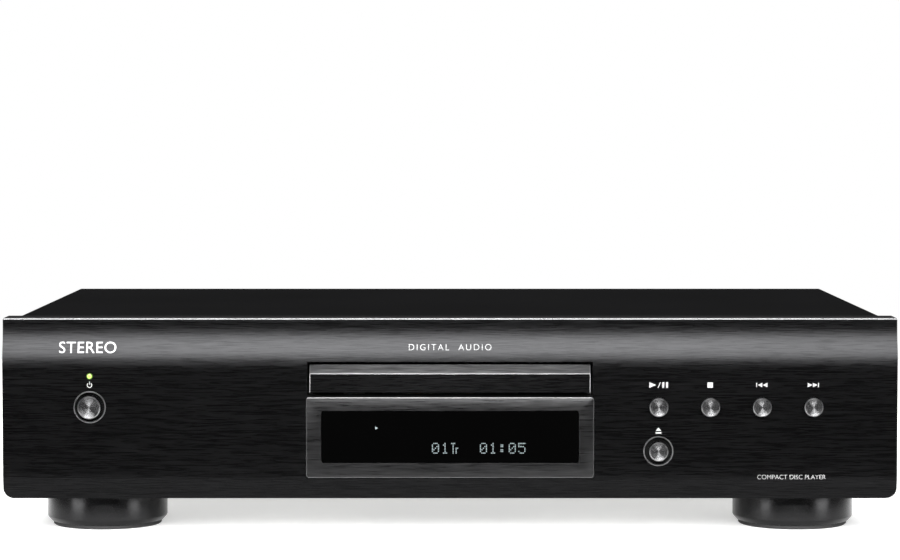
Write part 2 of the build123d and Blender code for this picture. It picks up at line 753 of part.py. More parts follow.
def clamp_bridge():
    """Bridge over the tray that carries the clamping puck."""
    z = loader_top + 4
    y0, y1 = spindle_y - 14, spindle_y + 14
    body = block(-loader_half, loader_half, y0, y1, z, z + 1.2)
    for side in (-1, 1):
        inner, outer = sorted((side * guide_half, side * loader_half))
        body += block(inner, outer, y0, y1, loader_top, z)
    for side in (-1, 1):
        body += block(-loader_half + 6, loader_half - 6, spindle_y + side * 12.5 - 1, spindle_y + side * 12.5 + 1,
                      z + 1.2, z + 3.2)
    return body - disc_z(0, spindle_y, z - 1, z + 4, 9)


def clamp_puck():
    """Puck that presses a disc on the hub, hung loosely in the bridge."""
    under = tray_top + 2.1
    bridge_z = loader_top + 4
    body = disc_z(0, spindle_y, under, under + 2, puck_radius)
    body += disc_z(0, spindle_y, under + 2, bridge_z + 1.6, 8.4)
    body += disc_z(0, spindle_y, bridge_z + 1.6, bridge_z + 3.2, 11)
    return body - disc_z(0, spindle_y, under - 1, under + 1.5, hub_radius + 0.6)


def drive_gear():
    """Wheel turned by the pulley gear, with the pinion that drives the tray's rack."""
    z = wheel_z()
    body = gear(train_module, wheel_teeth, z, z + 3.5, 90)
    body += disc_z(0, 0, z + 3.5, tray_base - 5.0, 4.5)
    body += gear(tray_module, tray_pinion_teeth, tray_base - 5.0, tray_base - 1.2, 180 / tray_pinion_teeth)
    body -= disc_z(0, 0, z - 1, tray_base, axle_radius + running)
    return Pos(gear_x, drive_y, 0) * body


def grooved_pulley(z, height, rim, groove):
    """Pulley about the Z axis, with a square belt groove."""
    body = disc_z(0, 0, z, z + height, rim)
    channel = disc_z(0, 0, z + height / 2 - 1, z + height / 2 + 1, rim + 1)
    return body - (channel - disc_z(0, 0, z, z + height, groove))


def pulley_gear():
    """Large belt pulley with a pinion on top."""
    z = pulley_z()
    body = grooved_pulley(z, 5, pulley_groove_radius + 1.6, pulley_groove_radius)
    body += disc_z(0, 0, z + 5, wheel_z(), 3.4)
    body += gear(train_module, pulley_pinion_teeth, wheel_z(), wheel_z() + 4, 90 + 180 / pulley_pinion_teeth)
    body -= disc_z(0, 0, z - 1, wheel_z() + 5, axle_radius + running)
    return Pos(gear_x, pulley_y, 0) * body


def motor_pulley():
    """Small pulley pressed on the loading motor's shaft."""
    body = grooved_pulley(pulley_z(), 5, motor_groove_radius + 1.6, motor_groove_radius)
    body += disc_z(0, 0, loader_floor - 2, pulley_z(), 1)
    return Pos(gear_x, motor_y, 0) * body


def loading_belt():
    """Square-section belt round both pulleys."""
    large = pulley_groove_radius + slip
    small = motor_groove_radius + slip
    z = pulley_z() + 2.5

    def loop(grow, half):
        """Solid inside a belt line that lies grow outside the inner line."""
        r1, r2 = large + grow, small + grow
        lean = math.asin((r1 - r2) / belt_span)
        side = (math.cos(lean), math.sin(lean))
        points = [(gear_x - r1 * side[0], pulley_y + r1 * side[1]), (gear_x - r2 * side[0], motor_y + r2 * side[1]),
                  (gear_x + r2 * side[0], motor_y + r2 * side[1]), (gear_x + r1 * side[0], pulley_y + r1 * side[1])]
        web = Pos(0, 0, z - half) * extrude(make_face(Polyline(*points, close=True)), 2 * half)
        return web + disc_z(gear_x, pulley_y, z - half, z + half, r1) + disc_z(gear_x, motor_y, z - half, z + half, r2)

    return loop(belt_thickness, belt_thickness / 2) - loop(0, belt_thickness)


def loading_motor():
    """Small motor hung under the loader's floor."""
    body = disc_z(gear_x, motor_y, loader_floor - 20, loader_floor, 9.5)
    body += disc_z(gear_x, motor_y, loader_floor - 21.5, loader_floor - 20, 3)
    return body - disc_z(gear_x, motor_y, loader_floor - 2.5, loader_floor + 1, 3)


def cam_slider():
    """Sliding cam plate whose sloped slot lowers the traverse."""
    z0 = loader_floor_top + 0.2
    body = block(-24, 12, cam_y, cam_y + 3, z0, pivot_z + 4)
    body += block(12, 26, cam_y, cam_y + 3, z0, z0 + 8)
    width_half = cam_pin_radius + slip
    ends = ((4.0, pivot_z), (0.0, pivot_z), (-cam_stroke, pivot_z - cam_drop), (-cam_stroke - 4, pivot_z - cam_drop))
    for x, z in ends:
        body -= disc_y(x, z, cam_y - 1, cam_y + 4, width_half)
    for (xa, za), (xb, zb) in zip(ends, ends[1:]):
        run = math.hypot(xb - xa, zb - za)
        slot = Pos((xa + xb) / 2, cam_y + 1.5, (za + zb) / 2) * Rot(
            0, -math.degrees(math.atan2(zb - za, xb - xa)), 0) * Box(run, 6, 2 * width_half)
        body -= slot
    return body


def traverse_frame():
    """Hinged metal frame that carries the disc drive and the pickup's rods."""
    front = cam_y + 7
    body = block(-traverse_half, traverse_half, front, pivot_y - 4, traverse_z, traverse_top)
    body -= block(-22, 13, lens_y - 6, lens_y + sled_travel + 17, traverse_z - 1, traverse_top + 1)
    body += disc_y(0, pivot_z, cam_y - 0.5, front + 2, cam_pin_radius)
    for side in (-1, 1):
        ear = sorted((side * (traverse_half - 4), side * traverse_half))
        body += block(ear[0], ear[1], pivot_y - 4, pivot_y + 3, traverse_z - 1.5, traverse_top + 2)
        pin = sorted((side * (traverse_half - 1), side * (traverse_half + 7.5)))
        body += disc_x(pivot_y, pivot_z, pin[0], pin[1], pivot_radius)
        for y in rod_ends():
            body += block(side * rod_spread - 2.3, side * rod_spread + 2.3, y, y + 4, traverse_top, rod_z() + 2)
    for side in (-1, 1):
        body -= disc_y(side * rod_spread, rod_z(), rod_ends()[0] - 1, rod_ends()[1] + 5, rod_radius)
    body -= disc_z(0, spindle_y, traverse_z - 1, traverse_top + 1, 2)
    body += disc_z(sled_gear_x, sled_gear_y, traverse_z, sled_z() + 3.2, axle_radius)
    body -= disc_z(sled_gear_x, sled_motor_y, traverse_z - 1, traverse_top + 1, 2)
    return body


def rod_z():
    """Height of the guide rods."""
    return tray_base - 3.6


def rod_ends():
    """Near edges of the blocks that hold the guide rods."""
    return (lens_y - 13, lens_y + sled_travel + 23)


def sled_z():
    """Height of the sled's underside."""
    return traverse_top + 2.6


def guide_rods():
    """Two polished rods that the pickup slides on."""
    return group([disc_y(side * rod_spread, rod_z(), rod_ends()[0], rod_ends()[1] + 4, rod_radius)
                  for side in (-1, 1)])


def pickup_sled():
    """Optical block with rod bores, a lens opening and a side rack."""
    front, rear = lens_y - 7, lens_y + 17
    top = tray_base - 0.6
    body = block(-20, 19, front, rear, sled_z(), top)
    first = -int(sled_travel / (math.pi * train_module)) - 2
    body += rack(train_module, sled_rack_x, sled_gear_y, first, 2, sled_rack_back, sled_z(), sled_z() + 3)
    for side in (-1, 1):
        body -= disc_y(side * rod_spread, rod_z(), front - 1, rear + 1, rod_radius + running)
    body -= disc_z(0, lens_y, sled_z() - 1, top + 1, lens_radius + 1)
    body += block(-9, 9, lens_y + 7, rear - 2, sled_z() - 5, sled_z())
    return body


def objective_lens():
    """Lens in its moving holder."""
    z0 = tray_base - 3.5
    top = tray_base + 1.3
    body = disc_z(0, lens_y, z0, top, lens_radius)
    body -= disc_z(0, lens_y, top - 0.6, top + 1, lens_radius - 1.2)
    return body - disc_z(0, lens_y, z0 - 1, z0 + 2.5, lens_radius - 1.2)


def turntable():
    """Disc platform with a centring hub, on the spindle motor's shaft."""
    seat = disc_plane
    body = disc_z(0, spindle_y, seat - 2.5, seat, 15)
    hub = disc_z(0, spindle_y, seat, seat + 3.3, hub_radius)
    body += chamfer(hub.edges().group_by(Axis.Z)[-1], 1.6)
    body += disc_z(0, spindle_y, traverse_top + 1, seat - 2.5, 3)
    return body + disc_z(0, spindle_y, traverse_z - 4, traverse_top + 1, 1)


def spindle_motor():
    """Flat motor under the traverse that turns the disc."""
    body = disc_z(0, spindle_y, traverse_z - 9, traverse_z, 10.5)
    return body - disc_z(0, spindle_y, traverse_z - 4.5, traverse_z + 1, 1 + running)


def sled_motor():
    """Motor under the traverse that drives the pickup."""
    body = disc_z(sled_gear_x, sled_motor_y, traverse_z - 12, traverse_z, 7.5)
    return body - disc_z(sled_gear_x, sled_motor_y, traverse_z - 4.5, traverse_z + 1, 1 + running)


def sled_pinion():
    """Pinion on the sled motor's shaft."""
    z = traverse_top + 0.4
    body = gear(train_module, sled_motor_teeth, z, z + 1.8, 270 + 180 / sled_motor_teeth)
    body += disc_z(0, 0, traverse_z - 4, z, 1)
    return Pos(sled_gear_x, sled_motor_y, 0) * body


def sled_gear():
    """Wheel turned by the motor's pinion, with the pinion that drives the sled's rack."""
    z = traverse_top + 0.4
    body = gear(train_module, sled_wheel_teeth, z, z + 1.8, 90)
    body += gear(train_module, sled_pinion_teeth, z + 1.8, z + 5.0, 180 + 180 / sled_pinion_teeth)
    body -= disc_z(0, 0, z - 1, z + 6, axle_radius + running)
    return Pos(sled_gear_x, sled_gear_y, 0) * body


def standoff_posts():
    """Posts under the loader and under the main board."""
    posts = []
    for x, y in loader_mounts():
        post = disc_z(x, y, floor_top, loader_floor - 3, 4.5)
        posts.append(post - disc_z(x, y, loader_floor - 12, loader_floor, screw_radius))
    for x, y in board_mounts():
        post = disc_z(x, y, floor_top, main_board_z, 3.5)
        posts.append(post - disc_z(x, y, floor_top + 2, main_board_z + 1, screw_radius))
    return group(posts)


def damper_bushes():
    """Rubber bushes between the loader and its posts."""
    bushes = []
    for x, y in loader_mounts():
        ring = disc_z(x, y, loader_floor - 3, loader_floor, 5.5)
        bushes.append(ring - disc_z(x, y, loader_floor - 4, loader_floor + 1, screw_radius + touch))
    return group(bushes)


# ---- electronics ----
def board_mounts():
    """Corners and middles of the main board."""
    xs = (main_board_left + 5, main_board_right - 5)
    ys = (main_board_front + 5, (main_board_front + main_board_rear) / 2, main_board_rear - 22)
    return [(x, y) for x in xs for y in ys]


def main_board():
    """Audio and control board."""
    board = block(main_board_left, main_board_right, main_board_front, main_board_rear, main_board_z, main_board_top)
    for x, y in board_mounts():
        board -= disc_z(x, y, main_board_z - 1, main_board_top + 1, screw_radius + touch)
    return board


def chassis_screws():
    """Screws of the rear panel, the loader and the main board."""
    screws = [screw_down(x, y, z, 4) for x, y, z in panel_flange_screws()]
    screws += [screw_down(x, y, loader_floor_top, 12) for x, y in loader_mounts()]
    screws += [screw_down(x, y, main_board_top, 7) for x, y in board_mounts()]
    return group(screws)


def capacitors():
    """Electrolytic capacitors on the main board."""
    cans = []
    left = main_board_left + 22
    for n in range(3):
        for m in range(2):
            x, y = left + 21 * m, main_board_front + 30 + 22 * n
            can = disc_z(x, y, main_board_top, main_board_top + 30, 8)
            cans.append(chamfer(can.edges().group_by(Axis.Z)[-1], 1))
    for n in range(6):
        x = left + 12 * n
        cans.append(disc_z(x, main_board_rear - 38, main_board_top, main_board_top + 12, 4))
    return group(cans)


def chips():
    """Controller, servo and converter chips."""
    left = main_board_left + 20
    y = main_board_front + 100
    return group([
        block(left, left + 22, y, y + 22, main_board_top, main_board_top + 2.4),
        block(left + 32, left + 50, y, y + 18, main_board_top, main_board_top + 2.4),
        block(left + 60, left + 78, y + 4, y + 12, main_board_top, main_board_top + 2.2),
        block(left + 60, left + 78, y + 22, y + 30, main_board_top, main_board_top + 2.2)])


def heat_sink():
    """Finned heat sink of the voltage regulators."""
    x = main_board_right - 38
    y = main_board_front + 22
    body = block(x, x + 4, y, y + 60, main_board_top, main_board_top + 34)
    for n in range(8):
        fin = y + 8 * n + 0.2
        body += block(x + 4, x + 20, fin, fin + 1.6, main_board_top, main_board_top + 34)
    return body


def transformer_core():
    """Laminated core with two winding windows."""
    half = core_width / 2
    y0, y1 = core_y - core_depth / 2, core_y + core_depth / 2
    body = block(core_x - half, core_x + half, y0, y1, floor_top, floor_top + core_height)
    for side in (-1, 1):
        inner, outer = sorted((side * core_limb, side * (half - core_limb)))
        body -= block(core_x + inner, core_x + outer, y0 - 1, y1 + 1, floor_top + core_limb,
                      floor_top + core_height - core_limb)
    return body


def transformer_windings():
    """Coil former and windings round the core's middle limb."""
    half = core_width / 2 - core_limb - 0.3
    z0 = floor_top + core_limb + 0.3
    z1 = floor_top + core_height - core_limb - 0.3
    reach = core_depth / 2 + 10
    body = block(core_x - half, core_x + half, core_y - reach, core_y + reach, z0, z1)
    body = fillet(body.edges().filter_by(Axis.Z), 4)
    return body - block(core_x - core_limb - 0.2, core_x + core_limb + 0.2, core_y - core_depth / 2 - 0.2,
                        core_y + core_depth / 2 + 0.2, z0 - 1, z1 + 1)


def rca_jacks():
    """Two line outputs and one digital output."""
    jacks = []
    for n in range(3):
        x = jack_x + n * jack_pitch
        jack = block(x - 6, x + 6, rear_panel_y - 14, rear_panel_y, main_board_top, jack_z + 7)
        jack += disc_y(x, jack_z, rear_panel_y, case_y, jack_base_radius)
        jack += disc_y(x, jack_z, case_y, case_y + jack_proud, jack_radius)
        jack -= disc_y(x, jack_z, case_y + 1, case_y + jack_proud + 1, jack_radius - 0.8)
        jack += disc_y(x, jack_z, case_y, case_y + jack_proud - 1.5, jack_radius - 1.2)
        jack -= disc_y(x, jack_z, case_y + 1, case_y + jack_proud, 1.6)
        jacks.append(jack)
    return group(jacks)


def optical_output():
    """Square optical socket."""
    x = optical_x
    body = block(x - 6, x + 6, rear_panel_y - 12, case_y, jack_z - 5.5, jack_z + 5.5)
    body += block(x - 6, x + 6, rear_panel_y - 12, rear_panel_y - 2, main_board_top, jack_z - 5.5)
    body -= block(x - 4, x + 4, case_y - 9, case_y + 1, jack_z - 4, jack_z + 4)
    return body + disc_y(x, jack_z, case_y - 9, case_y - 7.5, 1.5)


def ac_inlet():
    """Three-pin mains inlet."""
    x = inlet_x
    half, tall = inlet_width / 2, inlet_height / 2
    body = block(x - half, x + half, rear_panel_y - 18, case_y, inlet_z - tall, inlet_z + tall)
    body -= block(x - half + 2, x + half - 2, case_y - 16, case_y + 1, inlet_z - tall + 2, inlet_z + tall - 2)
    for dx, dz in ((-7, -2), (0, 3), (7, -2)):
        body += block(x + dx - 1, x + dx + 1, case_y - 16, case_y - 3, inlet_z + dz - 2, inlet_z + dz + 2)
    return body


def all_parts():
    """Every node's name and shape."""
    parts = {
        "chassis_base": chassis_base(), "rear_panel": rear_panel(), "top_cover": top_cover(),
        "front_panel": front_panel(), "front_frame": front_frame(), "display_bezel": display_bezel(),
        "display_window": display_window(), "display_module": display_module(), "power_lamp": power_lamp(),
        "power_ring": trim_ring(power_x, power_z, power_ring_diameter),
        "eject_ring": trim_ring(eject_x, eject_z, eject_ring_diameter),
        "front_board": front_board(), "tact_switches": tact_switches(), "cover_screws": cover_screws(),
        "foot_pads": foot_pads(), "foot_screws": foot_screws(), "loader_frame": loader_frame(),
        "disc_tray": disc_tray(), "tray_door": tray_door(), "clamp_bridge": clamp_bridge(),
        "clamp_puck": clamp_puck(), "drive_gear": drive_gear(), "pulley_gear": pulley_gear(),
        "motor_pulley": motor_pulley(), "loading_belt": loading_belt(), "loading_motor": loading_motor(),
        "cam_slider": cam_slider(), "traverse_frame": traverse_frame(), "guide_rods": guide_rods(),
        "pickup_sled": pickup_sled(), "objective_lens": objective_lens(), "turntable": turntable(),
        "spindle_motor": spindle_motor(), "sled_motor": sled_motor(), "sled_pinion": sled_pinion(),
        "sled_gear": sled_gear(), "standoff_posts": standoff_posts(), "damper_bushes": damper_bushes(),
        "main_board": main_board(), "chassis_screws": chassis_screws(), "capacitors": capacitors(),
        "chips": chips(), "heat_sink": heat_sink(), "transformer_core": transformer_core(),
        "transformer_windings": transformer_windings(), "rca_jacks": rca_jacks(),
        "optical_output": optical_output(), "ac_inlet": ac_inlet(),
    }
    for name, (x, y) in zip(("foot_front_left", "foot_front_right", "foot_rear_left", "foot_rear_right"),
                            foot_places()):
        parts[name] = foot(x, y)
    for name, x, z, diameter, collar in button_places():
        parts[name] = button(x, z, diameter, collar)
    return parts


if __name__ == "__main__":
    os.makedirs("parts", exist_ok=True)
    for name, shape in all_parts().items():
        export_step(shape, f"parts/{name}.step")
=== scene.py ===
import math

import bmesh
import bpy
from mathutils import Matrix, Vector

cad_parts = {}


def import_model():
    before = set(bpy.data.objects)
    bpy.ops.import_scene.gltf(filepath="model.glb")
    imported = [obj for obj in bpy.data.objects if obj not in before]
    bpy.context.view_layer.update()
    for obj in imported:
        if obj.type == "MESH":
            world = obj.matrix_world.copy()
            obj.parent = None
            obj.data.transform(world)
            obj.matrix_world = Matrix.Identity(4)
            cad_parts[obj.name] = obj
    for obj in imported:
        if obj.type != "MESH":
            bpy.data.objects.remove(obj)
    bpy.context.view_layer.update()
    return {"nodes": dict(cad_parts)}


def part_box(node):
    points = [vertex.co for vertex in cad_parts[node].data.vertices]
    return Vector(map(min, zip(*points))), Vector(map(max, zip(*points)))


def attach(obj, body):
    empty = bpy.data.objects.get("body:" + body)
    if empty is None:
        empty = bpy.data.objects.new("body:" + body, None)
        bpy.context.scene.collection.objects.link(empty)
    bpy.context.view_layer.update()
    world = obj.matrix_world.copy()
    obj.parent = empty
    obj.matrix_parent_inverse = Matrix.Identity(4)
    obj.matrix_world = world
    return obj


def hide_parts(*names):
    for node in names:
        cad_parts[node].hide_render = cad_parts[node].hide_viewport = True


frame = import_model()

MM = 0.001
X, Y, Z = Vector((1, 0, 0)), Vector((0, 1, 0)), Vector((0, 0, 1))
SMOOTH_ANGLE = math.radians(28)
SAME_PLACE = 1e-7
LEVEL = 1e-6

# ---- places that the frame gives ----
low = {name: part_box(name)[0] for name in frame["nodes"]}
high = {name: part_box(name)[1] for name in frame["nodes"]}
middle = {name: (low[name] + high[name]) / 2 for name in frame["nodes"]}
panel_low, panel_high = low["front_panel"], high["front_panel"]
face_y = panel_low.y
TRANSPORT = ("play_pause_button", "stop_button", "previous_button", "next_button")
FEET = ("foot_front_left", "foot_front_right", "foot_rear_left", "foot_rear_right")

# ---- the panel's section ----
PANEL_WALL = 3.2 * MM
PANEL_END_WALL = 3.5 * MM
PANEL_TOP_WALL = 3.5 * MM
PANEL_FLOOR_WALL = 3.0 * MM
CHIN_RADIUS = 24.0 * MM
CHIN_DROP = 12.1 * MM
BROW_RECESS = 3.2 * MM
BROW_RISE = 22.0 * MM
BROW_TOP = 3.0 * MM
LOWER_CORNER = 5.0 * MM
UPPER_CORNER = 1.0 * MM
brow_z = panel_high.z - BROW_TOP - BROW_RISE
brow_radius = ((BROW_RISE / 2) ** 2 + (BROW_RECESS / 2) ** 2) / BROW_RECESS


def brow_depth(z):
    """How far the panel's surface lies behind its flat face at a height."""
    rise = min(max(z - brow_z, 0), BROW_RISE)
    if rise <= BROW_RISE / 2:
        return brow_radius - math.sqrt(brow_radius ** 2 - rise ** 2)
    left = BROW_RISE - rise
    return BROW_RECESS - (brow_radius - math.sqrt(brow_radius ** 2 - left ** 2))


# ---- shapes ----
class Outline:
    """An outline drawn from vertex to vertex, then filled and extruded, or turned about an axis."""

    def __init__(self, start):
        self.bm = bmesh.new()
        self.tip = self.bm.verts.new(start)
        self.start = self.tip

    def line(self, *points):
        for point in points:
            grown = bmesh.ops.extrude_vert_indiv(self.bm, verts=[self.tip])["verts"][0]
            grown.co = point
            self.tip = grown

    def arc(self, centre, axis, degrees, steps):
        turned = bmesh.ops.spin(self.bm, geom=[self.tip], cent=centre, axis=axis,
                                angle=math.radians(degrees), steps=steps)
        self.tip = [v for v in turned["geom_last"] if isinstance(v, bmesh.types.BMVert)][0]

    def filled(self, along):
        """The outline closed, filled and extruded by a vector."""
        bmesh.ops.contextual_create(self.bm, geom=[self.tip, self.start])
        bmesh.ops.contextual_create(self.bm, geom=self.bm.edges[:])
        thicken(self.bm, along)
        return self.bm

    def turned(self, centre, axis, steps):
        """The outline turned once about an axis."""
        bmesh.ops.spin(self.bm, geom=self.bm.verts[:] + self.bm.edges[:], cent=centre, axis=axis,
                       angle=2 * math.pi, steps=steps, use_merge=True)
        bmesh.ops.remove_doubles(self.bm, verts=self.bm.verts, dist=SAME_PLACE)
        bmesh.ops.recalc_face_normals(self.bm, faces=self.bm.faces)
        return self.bm


def thicken(bm, along):
    """Extrudes every face by a vector into a closed solid."""
    grown = bmesh.ops.extrude_face_region(bm, geom=bm.faces[:])["geom"]
    bmesh.ops.translate(bm, vec=along, verts=[v for v in grown if isinstance(v, bmesh.types.BMVert)])
    bmesh.ops.recalc_face_normals(bm, faces=bm.faces)


def block(corner, far_corner):
    """Box between two corners."""
    bm = bmesh.new()
    size = Vector(far_corner) - Vector(corner)
    place = Matrix.Translation((Vector(far_corner) + Vector(corner)) / 2) @ Matrix.Diagonal(size.to_4d())
    bmesh.ops.create_cube(bm, size=1, matrix=place)
    return bm


def rounded(bm, size, segments, choose):
    """Rounds the edges that choose picks."""
    edges = [e for e in bm.edges if choose(e)]
    bmesh.ops.bevel(bm, geom=edges, offset=size, offset_type="OFFSET", affect="EDGES",
                    segments=segments, profile=0.5, clamp_overlap=True, material=-1)
    return bm


def sharp(limit):
    """Picks edges whose faces meet at more than limit degrees."""
    return lambda edge: edge.is_manifold and edge.calc_face_angle(0) > math.radians(limit)


def plate(corner, far_corner, corner_radius, edge=0.0, steps=8):
    """Upright plate facing the front, with rounded corners and softened front edges."""
    (x0, y0, z0), (x1, y1, z1) = corner, far_corner
    bm = bmesh.new()
    bmesh.ops.create_grid(bm, x_segments=1, y_segments=1, size=0.5)
    bmesh.ops.scale(bm, vec=(x1 - x0, z1 - z0, 1), verts=bm.verts)
    bmesh.ops.bevel(bm, geom=bm.verts[:], offset=corner_radius, offset_type="OFFSET", affect="VERTICES",
                    segments=steps, profile=0.5, material=-1)
    bmesh.ops.transform(bm, matrix=Matrix.Translation(((x0 + x1) / 2, y0, (z0 + z1) / 2))
                        @ Matrix.Rotation(math.pi / 2, 4, "X"), verts=bm.verts)
    thicken(bm, (0, y1 - y0, 0))
    if edge:
        rounded(bm, edge, 3, lambda e: sharp(60)(e) and all(abs(v.co.y - y0) < LEVEL for v in e.verts))
    return bm


def lathed(centre, axis, profile, steps):
    """A profile turned about an axis through centre; it is pairs of distance from the axis and place along it."""
    spin_axis = Vector(axis)
    side = Z if abs(spin_axis.z) < 0.5 else X
    base = Vector(centre) - spin_axis * Vector(centre).dot(spin_axis)
    points = [base + spin_axis * along + side * distance for distance, along in profile]
    outline = Outline(points[0])
    outline.line(*points[1:])
    return outline.turned(base, spin_axis, steps)


def rod(centre, radius, start, end):
    """Round bar along Y, from start to end."""
    return lathed(centre, Y, ((0, start), (radius, start), (radius, end), (0, end)), 64)


def merged(*shapes):
    """Several shapes in one mesh."""
    bm = bmesh.new()
    for shape in shapes:
        mesh = bpy.data.meshes.new("part")
        shape.to_mesh(mesh)
        shape.free()
        bm.from_mesh(mesh)
        bpy.data.meshes.remove(mesh)
    return bm


def softened(bm, angle=SMOOTH_ANGLE):
    """Smooth shading, broken at edges sharper than angle."""
    for face in bm.faces:
        face.smooth = True
    for edge in bm.edges:
        edge.smooth = not edge.is_manifold or edge.calc_face_angle(0) < angle
    return bm


def solid(name, bm):
    """An object made of a mesh, not yet part of the player."""
    mesh = bpy.data.meshes.new(name)
    bm.to_mesh(mesh)
    bm.free()
    piece = bpy.data.objects.new(name, mesh)
    bpy.context.scene.collection.objects.link(piece)
    return piece


def carved(bm, *cutters, operation="DIFFERENCE"):
    """A mesh with each cutter taken out of it, or kept only inside it."""
    piece = solid("blank", bm)
    tools = [solid("cutter", cutter) for cutter in cutters]
    for tool in tools:
        cut = piece.modifiers.new("cut", "BOOLEAN")
        cut.object = tool
        cut.operation = operation
        cut.solver = "EXACT"
    bpy.context.view_layer.update()
    cut_mesh = bpy.data.meshes.new_from_object(piece.evaluated_get(bpy.context.evaluated_depsgraph_get()))
    result = bmesh.new()
    result.from_mesh(cut_mesh)
    bmesh.ops.remove_doubles(result, verts=result.verts, dist=SAME_PLACE)
    for spent in (piece, *tools):
        bpy.data.objects.remove(spent)
    return result


def refinish(piece, *finishes):
    """Gives faces another finish: pairs of a finish and a test, where the first test that holds counts."""
    for finish, _ in finishes:
        piece.data.materials.append(finish)
    for face in piece.data.polygons:
        places = [place for place, (_, test) in enumerate(finishes, 1) if test(face)]
        if places:
            face.material_index = places[0]


def add(name, bm, finish, body, slot, *stands_for, angle=SMOOTH_ANGLE):
    """Puts a finished piece on the player."""
    piece = solid(name, softened(bm, angle))
    piece.data.materials.append(finish)
    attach(piece, body)
    if stands_for:
        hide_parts(*stands_for)
    return piece


# ---- shader maths ----
class Value:
    """A shader socket that can be used in a Python expression."""

    def __init__(self, finish, socket):
        self.finish = finish
        self.socket = socket

    def _math(self, operation, first, second):
        return self.finish.node("ShaderNodeMath", {"operation": operation}, {0: first, 1: second})

    def __add__(self, other):
        return self._math("ADD", self, other)

    def __radd__(self, other):
        return self._math("ADD", other, self)

    def __sub__(self, other):
        return self._math("SUBTRACT", self, other)

    def __rsub__(self, other):
        return self._math("SUBTRACT", other, self)

    def __mul__(self, other):
        return self._math("MULTIPLY", self, other)

    def __rmul__(self, other):
        return self._math("MULTIPLY", other, self)

    def __truediv__(self, other):
        return self._math("DIVIDE", self, other)

    def __pow__(self, other):
        return self._math("POWER", self, other)

    def above(self, edge):
        return self._math("GREATER_THAN", self, edge)

    def sine(self):
        return self._math("SINE", self, 0)


class Finish:
    """A material, or the world, being made from nodes."""

    def __init__(self, name_or_world):
        named = isinstance(name_or_world, str)
        self.material = bpy.data.materials.new(name_or_world) if named else name_or_world
        self.material.use_nodes = True
        self.tree = self.material.node_tree
        self.tree.nodes.clear()

    def node(self, kind, settings=None, sockets=None, out=0):
        made = self.tree.nodes.new(kind)
        for key, value in (settings or {}).items():
            if key == "stops":
                ramp = made.color_ramp
                while len(ramp.elements) < len(value):
                    ramp.elements.new(1)
                for element, (position, colour) in zip(ramp.elements, value):
                    element.position = position
                    element.color = (*colour, 1)
            else:
                setattr(made, key, value)
        for key, value in (sockets or {}).items():
            if isinstance(value, Value):
                self.tree.links.new(value.socket, made.inputs[key])
            elif isinstance(value, tuple) and len(value) == 3 and made.inputs[key].type == "RGBA":
                made.inputs[key].default_value = (*value, 1)
            else:
                made.inputs[key].default_value = value
        return Value(self, made.outputs[out]) if made.outputs else None

    def place(self, stretch=(1, 1, 1), centre=(0, 0, 0), turn=(0, 0, 0)):
        """Object coordinates, moved so that centre is at zero, then turned and stretched."""
        here = self.node("ShaderNodeTexCoord", out="Object")
        moved = self.node("ShaderNodeVectorMath", {"operation": "SUBTRACT"}, {0: here, 1: tuple(centre)})
        return self.node("ShaderNodeMapping", None, {"Vector": moved, "Rotation": turn, "Scale": stretch})

    def noise(self, where, scale=1.0, detail=4.0, roughness=0.6):
        return self.node("ShaderNodeTexNoise", None,
                         {"Vector": where, "Scale": scale, "Detail": detail, "Roughness": roughness})

    def reach(self, where, plane):
        """Distance from zero in a plane, given as the axes that count."""
        spread = self.node("ShaderNodeVectorMath", {"operation": "MULTIPLY"}, {0: where, 1: plane})
        return self.node("ShaderNodeVectorMath", {"operation": "LENGTH"}, {0: spread}, out="Value")

    def along(self, where, axis):
        """One coordinate of a place."""
        return self.node("ShaderNodeSeparateXYZ", None, {0: where}, out="XYZ".index(axis))

    def blend(self, amount, one, other):
        """A colour between two colours."""
        return self.node("ShaderNodeMix", {"data_type": "RGBA"}, {0: amount, 6: one, 7: other}, out=2)

    def ramp(self, amount, *stops):
        return self.node("ShaderNodeValToRGB", {"stops": stops}, {0: amount})

    def bump(self, height, strength, distance=0.2 * MM):
        return self.node("ShaderNodeBump", None, {"Height": height, "Strength": strength, "Distance": distance})

    def done(self, **sockets):
        """Ends the material in one surface shader and returns it."""
        names = {key: key.replace("_", " ").title().replace("Ior", "IOR") for key in sockets}
        surface = self.node("ShaderNodeBsdfPrincipled", None, {names[key]: sockets[key] for key in sockets})
        self.node("ShaderNodeOutputMaterial", None, {"Surface": surface})
        return self.material


# ---- finishes ----
# Stretch of the noise along X, Y and Z, so that its streaks run from side to side.
FINE_BRUSHING = (90, 1900, 1900)
BROAD_BRUSHING = (14, 620, 620)
ROLLING_MARKS = (40, 900, 900)
TAPE_CREASES = (60, 60, 600)
TAPE_WIDTH = 6 * MM
CORE_PLATE = 0.5 * MM
LATHE_FEED = 0.16 * MM


def brushed(name, colour, rough, grain, spread):
    """Metal brushed from side to side."""
    finish = Finish(name)
    fine = finish.noise(finish.place(FINE_BRUSHING), 1, 2, 0.6)
    broad = finish.noise(finish.place(BROAD_BRUSHING), 1, 2, 0.5)
    streaks = (fine * 0.8 + broad * 0.2 - 0.5) * 2.6 + 0.5
    pale = tuple(c * (1 + spread) for c in colour)
    deep = tuple(c * (1 - spread) for c in colour)
    return finish.done(base_color=finish.blend(streaks, deep, pale), metallic=1.0,
                       roughness=rough + (streaks - 0.5) * 0.08, normal=finish.bump(streaks, grain))


